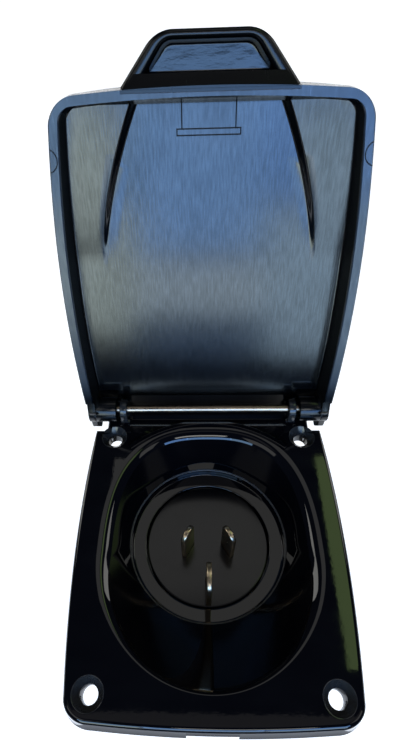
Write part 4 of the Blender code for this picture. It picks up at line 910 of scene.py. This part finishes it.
class INLET_OT_lid(bpy.types.Operator):
    """Model the satin lid with its shoulders, hinge barrels and finger pull"""

    bl_idname = "inlet.lid"
    bl_label = "Lid"

    def execute(self, context):
        lid = context.scene.inlet_lid
        rim_z, skin_z = lid_levels(context)
        skin = Skin()
        shells = ((0, 0, 0, 0.0003, lid.edge_round, 0, lid.bulge),
                  (lid.rim, lid.skin, lid.skin, -0.0003, 0.0004, lid.lean, 0))
        for shell in shells:
            rings = lid_rings(context, *shell)
            first = skin.ring(rings[0])
            skin.fill(skin.grow(first, *rings[1:]))
        flat = [face for face in skin.bm.faces if all(abs(vert.co.z - rim_z) < 1e-7 for vert in face.verts)]
        bmesh.ops.delete(skin.bm, geom=flat, context="FACES")
        loops = [edge for edge in skin.bm.edges if edge.is_boundary]
        bmesh.ops.bridge_loops(skin.bm, edges=loops)
        self.add_hinge_end(skin, context, rim_z, skin_z)
        self.add_pull(skin, lid, rim_z, skin_z)
        matrix = Matrix.Translation(HINGE) @ Matrix.Rotation(-OPEN_TURN, 4, "X")
        material = satin_lid(context.scene.inlet_colours.lid, context.scene.inlet_plate, lid,
                             skin_z - PULL_SET_DOWN - lid.pull_web)
        skin.piece("satin_lid", "lid", ["lid"], material, matrix, 28)
        return {"FINISHED"}

    def add_hinge_end(self, skin, context, rim_z, skin_z):
        """Ends of side walls and skin, the slope behind the bare pin, round barrels and corner ears."""
        lid = context.scene.inlet_lid
        plate = context.scene.inlet_plate
        radius = lid.barrel
        inside = radius - lid.skin
        thin = plate.lug_radius + LUG_ROUND_GAP
        floor_z = skin_z - lid.skin
        heel = math.radians(50)

        def slope(reach, height):
            """Place of the heel's slope at a height; it touches a circle about the axis."""
            return reach * math.cos(heel) - (height - reach * math.sin(heel)) * math.tan(heel)

        back = [(slope(radius, skin_z), skin_z), (-lid.heel, skin_z - 0.00002)]
        side_end = [(-lid.heel, rim_z)] + arc(radius, -102, 50, 28) + back
        skin_end = [(-lid.heel, floor_z), (slope(radius, floor_z), floor_z)] + back
        bridges = []
        for under in (inside, thin):
            shell = arc(radius, 35, 50, 6) + back
            shell += [(-lid.heel, floor_z), (slope(under, floor_z), floor_z)]
            bridges.append(shell + arc(under, 50, 35, 6))
        barrel = [(-lid.heel, floor_z)] + arc(radius, 145, 410, 44) + back
        front = plate.notch_y + NOTCH_GAP - HINGE.y
        corners = [(front, lid.ear_rise), (front, -lid.ear_drop), (lid.ear_back, -lid.ear_drop),
                   (lid.ear_back, lid.ear_rise)]
        turn = Matrix.Rotation(OPEN_TURN, 2)
        ear = [tuple(turn @ Vector(corner)) for corner in corners]
        outer_x = lid_width(context, 0)
        wall_x = outer_x - lid.rim
        barrel_x = plate.lug_inner + plate.lug_width + LUG_SIDE_GAP
        bridge_x = plate.lug_inner - LUG_SIDE_GAP
        skin.bar(bridges[0], -bridge_x, bridge_x, 0.0002)
        skin.bar(bridges[1], -barrel_x - OVERLAP, barrel_x + OVERLAP)
        skin.bar(skin_end, -barrel_x - OVERLAP, barrel_x + OVERLAP)
        for side in (-1, 1):
            skin.bar(side_end, side * wall_x, side * outer_x, 0.0003)
            skin.bar(barrel, side * barrel_x, side * (wall_x + OVERLAP), 0.0003)
            skin.bar(ear, side * (outer_x - lid.ear_width), side * (outer_x - OVERLAP), 0.0004)

    def add_pull(self, skin, lid, rim_z, skin_z):
        """Finger pull: rounded outside, lip and hollow web."""
        high = skin_z - PULL_SET_DOWN
        low = rim_z + lid.pull_set_back
        web_z = high - lid.pull_web
        soft = lid.pull_round

        def outer(inset):
            """Outline of the pull drawn in by an inset."""
            return pull_outline(lid.pull_foot - inset, lid.run - lid.skin / 2 + inset, lid.pull_top - inset,
                                lid.run + lid.pull_run - inset, lid.pull_corner - inset)

        def hollow(inset):
            """Outline of the hollow drawn in by an inset."""
            foot = lid.pull_foot - lid.pull_side_lip - inset
            top = lid.pull_top - lid.pull_lip - inset
            end = lid.run + lid.pull_run - lid.pull_lip - inset
            return pull_outline(foot, lid.run + lid.pull_foot_lip + inset, top, end,
                                lid.pull_hollow_corner - inset)

        rings = [lifted(outer(soft * (1 - sine)), high - soft * (1 - cosine))
                 for sine, cosine in arc_steps(5)]
        for step in range(17):
            turn = math.pi * step / 16
            share = (1 - math.cos(turn)) / 2
            flat = [lerp(start, end, share) for start, end in zip(outer(0), hollow(0))]
            rings.append(lifted(flat, low + lid.pull_round * (1 - math.sin(turn))))
        rings += [lifted(hollow(0.0003), web_z - 0.0004), lifted(hollow(0.0004), web_z - 0.0001),
                  lifted(hollow(0.0006), web_z), lifted(hollow(0.0006 + HAIR), web_z)]
        skin.prism(lifted(outer(soft), high), *rings)
        self.add_foot(skin, lid, rim_z)

    def add_foot(self, skin, lid, rim_z):
        """Sloping bar that leads from the rim down to the lip of the pull."""
        near = lid.run - 0.0013
        far = lid.run + lid.pull_foot_lip
        slope = (lid.pull_foot - lid.pull_top) / (lid.pull_run + lid.skin / 2)
        outline = [(near, rim_z - 0.00003), (near + 0.0007, rim_z - 0.00003), (far, rim_z + 0.0021),
                   (far, rim_z + 0.0040), (near, rim_z + 0.0040)]
        halves = [lid.pull_foot - 0.0012 - slope * (run - near) for run, _ in outline]
        skin.prism(*[[(side * half, -run, z) for half, (run, z) in zip(halves, outline)] for side in (-1, 1)])


def pull_outline(foot_half, foot_run, top_half, top_run, corner):
    """Closed outline of a trapezoid whose two far corners are rounded."""
    lean = math.atan2(foot_half - top_half, top_run - foot_run)
    sweep = math.pi / 2 - lean
    tangent = corner * math.tan(sweep / 2)
    far = Vector((top_half, top_run))
    centre = Vector((far.x - tangent, far.y - corner))
    half = [(0.0, foot_run)]
    half += [(foot_half * step / 8, foot_run) for step in range(1, 9)]
    start = centre + Vector((math.cos(lean), math.sin(lean))) * corner
    half += [tuple(Vector((foot_half, foot_run)).lerp(start, step / 6)) for step in range(1, 7)]
    for step in range(1, 13):
        turn = lean + sweep * step / 12
        half.append((centre.x + corner * math.cos(turn), centre.y + corner * math.sin(turn)))
    half += [(centre.x * (1 - step / 6), top_run) for step in range(1, 7)]
    ring = half + [(-x, run) for x, run in reversed(half[1:-1])]
    return [(x, -run) for x, run in ring]


class INLET_OT_hinge_pin(bpy.types.Operator):
    """Model the drawn steel hinge pin"""

    bl_idname = "inlet.hinge_pin"
    bl_label = "Hinge pin"

    def execute(self, context):
        low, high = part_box("hinge_pin")
        radius = (high.z - low.z) / 2
        soft = radius * 0.25
        skin = Skin()
        profile = [(low.x, 0), (low.x, radius - soft), (low.x + soft, radius), (high.x - soft, radius),
                   (high.x, radius - soft), (high.x, 0)]
        skin.turn([(x, HINGE.y, HINGE.z + r) for x, r in profile], HINGE, (1, 0, 0), 48)
        steel = drawn_metal("drawn steel", context.scene.inlet_colours.steel, 0.16, (0.05, 1, 1), 0.75)
        skin.piece("steel_hinge_pin", "base", ["hinge_pin"], steel)
        return {"FINISHED"}


class INLET_OT_pin_base(bpy.types.Operator):
    """Model the round base that carries the contact blades"""

    bl_idname = "inlet.pin_base"
    bl_label = "Pin base"

    def execute(self, context):
        bowl = context.scene.inlet_bowl
        low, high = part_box("pin_base")
        flange = high.x
        radius = bowl.disc_radius
        back = REAR_Z - BASE_SEAT
        front = high.z
        skin = Skin()
        slots = [self.slot_ring(skin, node, front) for node in BLADE_NODES]
        edge = skin.ring(circle(radius - 0.0005 - HAIR, front, BASE_TURNS))
        skin.fill(edge, *[ring for ring, _ in slots])
        for ring, deep in slots:
            skin.cap(skin.grow(ring, deep))
        stations = [(radius - 0.0005, front), (radius - 0.0002, front - 0.00008),
                    (radius - 0.00005, front - 0.00025), (radius, front - 0.0005),
                    (radius, back), (flange, back), (flange, back - BASE_FLANGE)]
        skin.cap(skin.grow(edge, *[circle(r, z, BASE_TURNS) for r, z in stations]))
        top = back - 0.0020
        near, far = CROSS_BARRIER
        skin.block((-BARRIER_REACH, near, low.z), (BARRIER_REACH, far, top), 0.0002)
        skin.block((-BARRIER_HALF, BARRIER_START, low.z), (BARRIER_HALF, BARRIER_REACH, top), 0.0002)
        material = polished_black("base black", context.scene.inlet_colours.plate, 0.14)
        skin.piece("polished_pin_base", "base", ["pin_base"], material)
        return {"FINISHED"}

    def slot_ring(self, skin, node, front):
        """Slot around a contact blade, with rounded ends, and the same ring deeper down."""
        matrix, width = blade_place(node)
        radius = BLADE_THICK / 2 + SLOT_GAP
        reach = width / 2 + SLOT_GAP - radius
        outline = arc(radius, 0, 180, 8, (0, reach)) + arc(radius, 180, 360, 8, (0, -reach))
        top, deep = [[matrix @ Vector((x, y, z)) for x, y in outline] for z in (front, front - SLOT_DEPTH)]
        return skin.ring(top), deep


def middle_of(node):
    """Middle of a solid's box, seen from the front."""
    low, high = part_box(node)
    return Vector(((low.x + high.x) / 2, (low.y + high.y) / 2, 0))


def blade_place(node):
    """Place of a contact blade as a matrix, and its width."""
    low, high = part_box(node)
    turn = {"active_pin": LINE_TURN, "neutral_pin": -LINE_TURN, "earth_pin": 0.0}[node]
    width = LINE_WIDTH if turn else high.y - low.y
    return Matrix.Translation(middle_of(node)) @ Matrix.Rotation(turn, 4, "Z"), width


def dome(share):
    """Depth of the round tip of a blade at a share of its half width."""
    return 1 - math.sqrt(1 - (TIP_ROUND * share) ** 2)


class INLET_OT_contact_blades(bpy.types.Operator):
    """Model the three flat contact blades with rounded tips"""

    bl_idname = "inlet.contact_blades"
    bl_label = "Contact blades"

    def execute(self, context):
        metal = drawn_metal("washed brass", context.scene.inlet_colours.contact, 0.19, (1, 1, 0.06), 0.6)
        for node in BLADE_NODES:
            low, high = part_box(node)
            matrix, width = blade_place(node)
            skin = Skin()
            outline = [(width / 2, low.z)]
            for share in [1 - step / 12 for step in range(25)]:
                outline.append((width / 2 * share, high.z - TIP_HEIGHT * dome(share) / dome(1)))
            outline.append((-width / 2, low.z))
            skin.bar(outline, -BLADE_THICK / 2, BLADE_THICK / 2, BLADE_THICK * 0.26)
            skin.piece(node.replace("pin", "blade"), "base", [node], metal, matrix)
        return {"FINISHED"}


class INLET_OT_rear_cover(bpy.types.Operator):
    """Model the rear cover with its cable spout and screw ears"""

    bl_idname = "inlet.rear_cover"
    bl_label = "Rear cover"

    def execute(self, context):
        rear = context.scene.inlet_rear
        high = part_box("rear_cover")[1].z
        inner = rear.radius - rear.wall
        soft = rear.edge_round
        skin = Skin()
        profile = [(0, 0), (rear.radius - soft - 0.004, 0), (rear.radius - soft, 0)]
        profile += [(rear.radius - soft + soft * sine, soft - soft * cosine) for sine, cosine in arc_steps(8)]
        profile += [(rear.radius, high - 0.0003), (rear.radius - 0.0003, high), (inner, high),
                    (inner, rear.floor), (0, rear.floor)]
        skin.turn([(r, 0, z) for r, z in profile], (0, 0, 0), (0, 0, 1), 128)
        start = -inner
        bore = rear.spout_radius - rear.spout_wall
        end = rear.spout_end
        tube = [(bore, start), (rear.spout_radius, start), (rear.spout_radius, end + 0.0004),
                (rear.spout_radius - 0.0004, end), (bore, end), (bore, start)]
        skin.turn([(0, y, rear.cable_z + r) for r, y in tube], (0, 0, rear.cable_z), (0, 1, 0), 64)
        add_ears(skin, rear, rear.radius - rear.wall / 2, high - COVER_EAR, high, round_top=False)
        material = satin_black(context.scene.inlet_colours.cover)
        context.scene["inlet_cover_material"] = material.name
        skin.piece("satin_rear_cover", "base", ["rear_cover"], material)
        return {"FINISHED"}


class INLET_OT_cable_grommet(bpy.types.Operator):
    """Model the rubber bush in the cable spout"""

    bl_idname = "inlet.cable_grommet"
    bl_label = "Cable grommet"

    def execute(self, context):
        rear = context.scene.inlet_rear
        low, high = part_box("cable_grommet")
        bore = 0.0042
        neck = rear.spout_radius - rear.spout_wall - 0.0003
        lip = (high.z - low.z) / 2
        seat = rear.spout_end - 0.0003
        soft = 0.0006
        profile = [(bore, high.y), (neck, high.y), (neck, seat), (lip, seat), (lip, low.y + soft),
                   (lip - soft * 0.3, low.y + soft * 0.3), (lip - soft, low.y), (bore + soft, low.y),
                   (bore + soft * 0.3, low.y + soft * 0.3), (bore, low.y + soft), (bore, high.y)]
        skin = Skin()
        skin.turn([(0, y, rear.cable_z + r) for r, y in profile], (0, 0, rear.cable_z), (0, 1, 0), 64)
        rubber = soft_black("black rubber", context.scene.inlet_colours.rubber, 0.62, 1400)
        context.scene["inlet_rubber_material"] = rubber.name
        skin.piece("rubber_grommet", "base", ["cable_grommet"], rubber)
        return {"FINISHED"}


class INLET_OT_cover_screws(bpy.types.Operator):
    """Model the slotted screws that hold the rear cover"""

    bl_idname = "inlet.cover_screws"
    bl_label = "Cover screws"

    def execute(self, context):
        zinc = drawn_metal("zinc plate", context.scene.inlet_colours.zinc, 0.30, (1, 1, 1), 0.7)
        context.scene["inlet_zinc_material"] = zinc.name
        for node in ("cover_screw_left", "cover_screw_right"):
            low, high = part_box(node)
            radius = (high.x - low.x) / 2
            head = 0.0021
            shank = 0.0015
            skin = Skin()
            profile = [(0, high.z), (shank * 0.7, high.z), (shank, high.z - 0.0008), (shank, low.z + head),
                       (radius, low.z + head), (radius, low.z + head * 0.45),
                       (radius * 0.86, low.z + head * 0.12), (radius * 0.6, low.z), (0, low.z)]
            skin.turn([(r, 0, z) for r, z in profile], (0, 0, 0), (0, 0, 1), 40)
            self.cut_slot(skin.bm, low.z, head)
            skin.piece(node.replace("screw", "bolt"), "base", [node], zinc,
                       Matrix.Translation(middle_of(node)))
        return {"FINISHED"}

    def cut_slot(self, bm, low_z, head):
        """Sink a driver slot into the head."""
        half = 0.0004
        for x in (-half, half):
            geom = bm.verts[:] + bm.edges[:] + bm.faces[:]
            bmesh.ops.bisect_plane(bm, geom=geom, dist=1e-7, plane_co=(x, 0, 0), plane_no=(1, 0, 0))
        floor = []
        for face in bm.faces:
            centre = face.calc_center_median()
            if face.normal.z < -0.9 and abs(centre.x) < half and centre.z < low_z + head * 0.1:
                floor.append(face)
        made = bmesh.ops.extrude_face_region(bm, geom=floor)["geom"]
        verts = [item for item in made if isinstance(item, bmesh.types.BMVert)]
        bmesh.ops.translate(bm, verts=verts, vec=(0, 0, head * 0.45))
        bmesh.ops.delete(bm, geom=floor, context="FACES_ONLY")


class INLET_OT_carried_nodes(bpy.types.Operator):
    """Finish the solids that stay in view or inside as they are"""

    bl_idname = "inlet.carried_nodes"
    bl_label = "Carried solids"

    def execute(self, context):
        scene = context.scene
        colours = scene.inlet_colours
        finishes = {"gasket": soft_black("grey foam", colours.foam, 0.85, 700),
                    "terminal": drawn_metal("raw brass", colours.brass, 0.26, (1, 1, 0.1), 0.7)}
        for kind, made in (("screw", "zinc"), ("seal", "rubber"), ("clamp", "cover")):
            finishes[kind] = bpy.data.materials[scene[f"inlet_{made}_material"]]
        for name, node in FRAME["nodes"].items():
            material = finishes.get("screw" if "screw" in name else name.split("_")[-1])
            if material:
                node.data.materials.clear()
                node.data.materials.append(material)
        return {"FINISHED"}


class INLET_OT_stage(bpy.types.Operator):
    """Set the pale floor, the soft lights and the camera"""

    bl_idname = "inlet.stage"
    bl_label = "Stage"

    def execute(self, context):
        scene = context.scene
        self.add_floor(scene)
        grey = (1.0, 0.99, 0.95)
        lid_at = (0, 0.06, 0.12)
        bowl_at = (0, 0, 0.06)
        for name, target, azimuth, elevation, span, glow, colour in (
                ("blue_panel", lid_at, 0, (8, 31), 17, 5.8, (0.27, 0.52, 1.0)),
                ("blue_left", lid_at, -20, (14, 31), 23, 4.6, (0.36, 0.62, 1.0)),
                ("blue_right", lid_at, 20, (14, 31), 23, 6.2, (0.22, 0.46, 1.0)),
                ("pale_panel", lid_at, 0, (1, 8), 17, 4.6, (0.66, 0.84, 1.0)),
                ("navy_panel", lid_at, 0, (-4, 1), 17, 0.9, (0.20, 0.46, 1.0)),
                ("pale_left", lid_at, -17, (-1.5, 14), 17, 4.0, (0.83, 1.0, 0.97)),
                ("pale_right", lid_at, 17, (-4.5, 14), 17, 4.2, (0.54, 0.77, 1.0)),
                ("left_panel", bowl_at, -117, (5, 42), 15, 2.3, grey),
                ("right_panel", bowl_at, 117, (5, 42), 15, 2.3, grey),
                ("back_left", bowl_at, -48, (34, 58), 44, 0.70, grey),
                ("back_right", bowl_at, 62, (34, 58), 26, 0.70, grey),
                ("bright_strip", bowl_at, 8, (43, 52), 26, 4.0, grey)):
            self.add_panel(scene, name, target, azimuth, elevation, span, glow, colour)
        for name, place, size, glow, colour in (
                ("top_card", (0, 0.335, 1.0), (0.42, 0.33), 0.45, grey),
                ("front_card", (0, -0.105, 1.0), (0.80, 0.16), 0.15, (1.0, 0.95, 0.94)),
                ("green_card", (0.365, 0.28, 1.0), (0.16, 0.46), 1.05, (0.70, 1.0, 0.38))):
            self.add_light(scene, name, place, (*place[:2], 0), size, glow, colour)
        self.set_world(scene)
        self.add_camera(scene)
        return {"FINISHED"}

    def add_floor(self, scene):
        """White sheet under the part, cards in front that only reflect, and a pale room around."""
        pale = (0.92, 0.92, 0.92)
        grey = (0.30, 0.30, 0.31)
        dark = (0.008, 0.017, 0.042)
        for name, half, deep, y, below, tone, glow in (
                ("white_sheet", 1.0, 1.0, 1.0 - 0.070, 0.0005, pale, 0.8),
                ("grey_card", 1.0, 0.022, -0.092, 0.0005, grey, 0.22),
                ("dark_card", 6.0, 6.0, 0, 0.0015, dark, 0.0),
                ("pale_room", 6.0, 6.0, 0, 0.0025, pale, 0.9)):
            bm = bmesh.new()
            if name == "pale_room":
                bmesh.ops.create_cone(bm, cap_ends=True, segments=64, radius1=half, radius2=half, depth=half)
                bmesh.ops.translate(bm, vec=(0, 0, half / 2), verts=bm.verts)
                bmesh.ops.reverse_faces(bm, faces=bm.faces)
            else:
                bmesh.ops.create_grid(bm, x_segments=4, y_segments=4, size=half)
                bmesh.ops.scale(bm, vec=(1, deep / half, 1), verts=bm.verts)
            mesh = bpy.data.meshes.new(name)
            bm.to_mesh(mesh)
            bm.free()

            def recipe(shade):
                cloud = shade.noise(3, detail=2)
                return {"Base Color": cloud.between(tone, scaled(tone, 0.97))}

            constants = {"Roughness": 0.9, "Specular IOR Level": 0.1, "Emission Strength": glow,
                         "Emission Color": (1, 1, 1, 1)}
            mesh.materials.append(finish(name.replace("_", " "), constants, recipe))
            item = bpy.data.objects.new(name, mesh)
            item.location = (0, y, CAD_BOX[0].z - below)
            item.visible_camera = not name.endswith("card")
            item.visible_shadow = name == "white_sheet"
            item.visible_glossy = name != "pale_room"
            item.visible_diffuse = name != "pale_room"
            scene.collection.objects.link(item)

    def add_panel(self, scene, name, target, azimuth, elevation, span, glow, colour):
        """Upright panel seen from a target between two elevations; azimuth runs from front to right."""
        low, high = [math.tan(math.radians(angle)) for angle in elevation]
        reach = 1.2
        turn = math.radians(azimuth)
        middle = math.atan((low + high) / 2)
        place = Vector(target) + Vector((math.sin(turn), -math.cos(turn), math.tan(middle))) * reach
        size = (2 * reach * math.tan(math.radians(span / 2)), reach * (high - low) * math.cos(middle))
        self.add_light(scene, name, place, target, size, glow, colour)

    def add_light(self, scene, name, place, target, size, glow, colour):
        """Soft area light that faces a target."""
        light = bpy.data.lights.new(name, "AREA")
        light.shape = "RECTANGLE"
        light.size, light.size_y = size
        light.energy = 4 * size[0] * size[1] * glow
        light.color = colour
        item = bpy.data.objects.new(name, light)
        item.location = place
        item.rotation_euler = (Vector(target) - Vector(place)).to_track_quat("-Z", "Y").to_euler()
        scene.collection.objects.link(item)

    def set_world(self, scene):
        """Dim even surroundings."""
        world = bpy.data.worlds.new("studio")
        world.use_nodes = True
        world.node_tree.nodes["Background"].inputs["Color"].default_value = (0.022, 0.026, 0.040, 1)
        world.node_tree.nodes["Background"].inputs["Strength"].default_value = 1.0
        scene.world = world
        scene.view_settings.view_transform = "Standard"

    def add_camera(self, scene):
        """Camera at the photograph's viewing angle, for a frame of 419 by 754."""
        lens = bpy.data.cameras.new("photo_view")
        lens.sensor_width = 36
        lens.lens = 23.143
        lens.shift_x = 0.0416
        lens.shift_y = 0.0215
        lens.clip_start = 0.005
        camera = bpy.data.objects.new("photo_view", lens)
        camera.location = (-0.003442, -0.055098, 0.207517)
        camera.rotation_euler = [math.radians(turn) for turn in (35.031, 2.006, 1.021)]
        scene.collection.objects.link(camera)
        scene.camera = camera


class INLET_PT_sidebar(bpy.types.Panel):
    """Lists the steps that build the inlet"""

    bl_idname = "INLET_PT_sidebar"
    bl_label = "Power inlet"
    bl_space_type = "VIEW_3D"
    bl_region_type = "UI"
    bl_category = "Inlet"

    def draw(self, context):
        for step in STEPS:
            self.layout.operator(step.bl_idname)


GROUPS = {"inlet_plate": PlateSizes, "inlet_bowl": BowlSizes, "inlet_lid": LidSizes, "inlet_rear": RearSizes,
          "inlet_colours": InletColours}
STEPS = (INLET_OT_stage, INLET_OT_front_plate, INLET_OT_lid, INLET_OT_hinge_pin, INLET_OT_pin_base,
         INLET_OT_contact_blades, INLET_OT_rear_cover, INLET_OT_cable_grommet, INLET_OT_cover_screws,
         INLET_OT_carried_nodes)


def register():
    """Make the sizes, steps and panel known to Blender."""
    for group in GROUPS.values():
        bpy.utils.register_class(group)
    for name, group in GROUPS.items():
        setattr(bpy.types.Scene, name, PointerProperty(type=group))
    for item in (*STEPS, INLET_PT_sidebar):
        bpy.utils.register_class(item)


def unregister():
    """Take them out again."""
    for item in (INLET_PT_sidebar, *reversed(STEPS)):
        bpy.utils.unregister_class(item)
    for name in GROUPS:
        delattr(bpy.types.Scene, name)
    for group in reversed(list(GROUPS.values())):
        bpy.utils.unregister_class(group)


def main():
    """Run every step."""
    register()
    for step in STEPS:
        category, name = step.bl_idname.split(".")
        getattr(getattr(bpy.ops, category), name)()


if __name__ == "__main__":
    main()
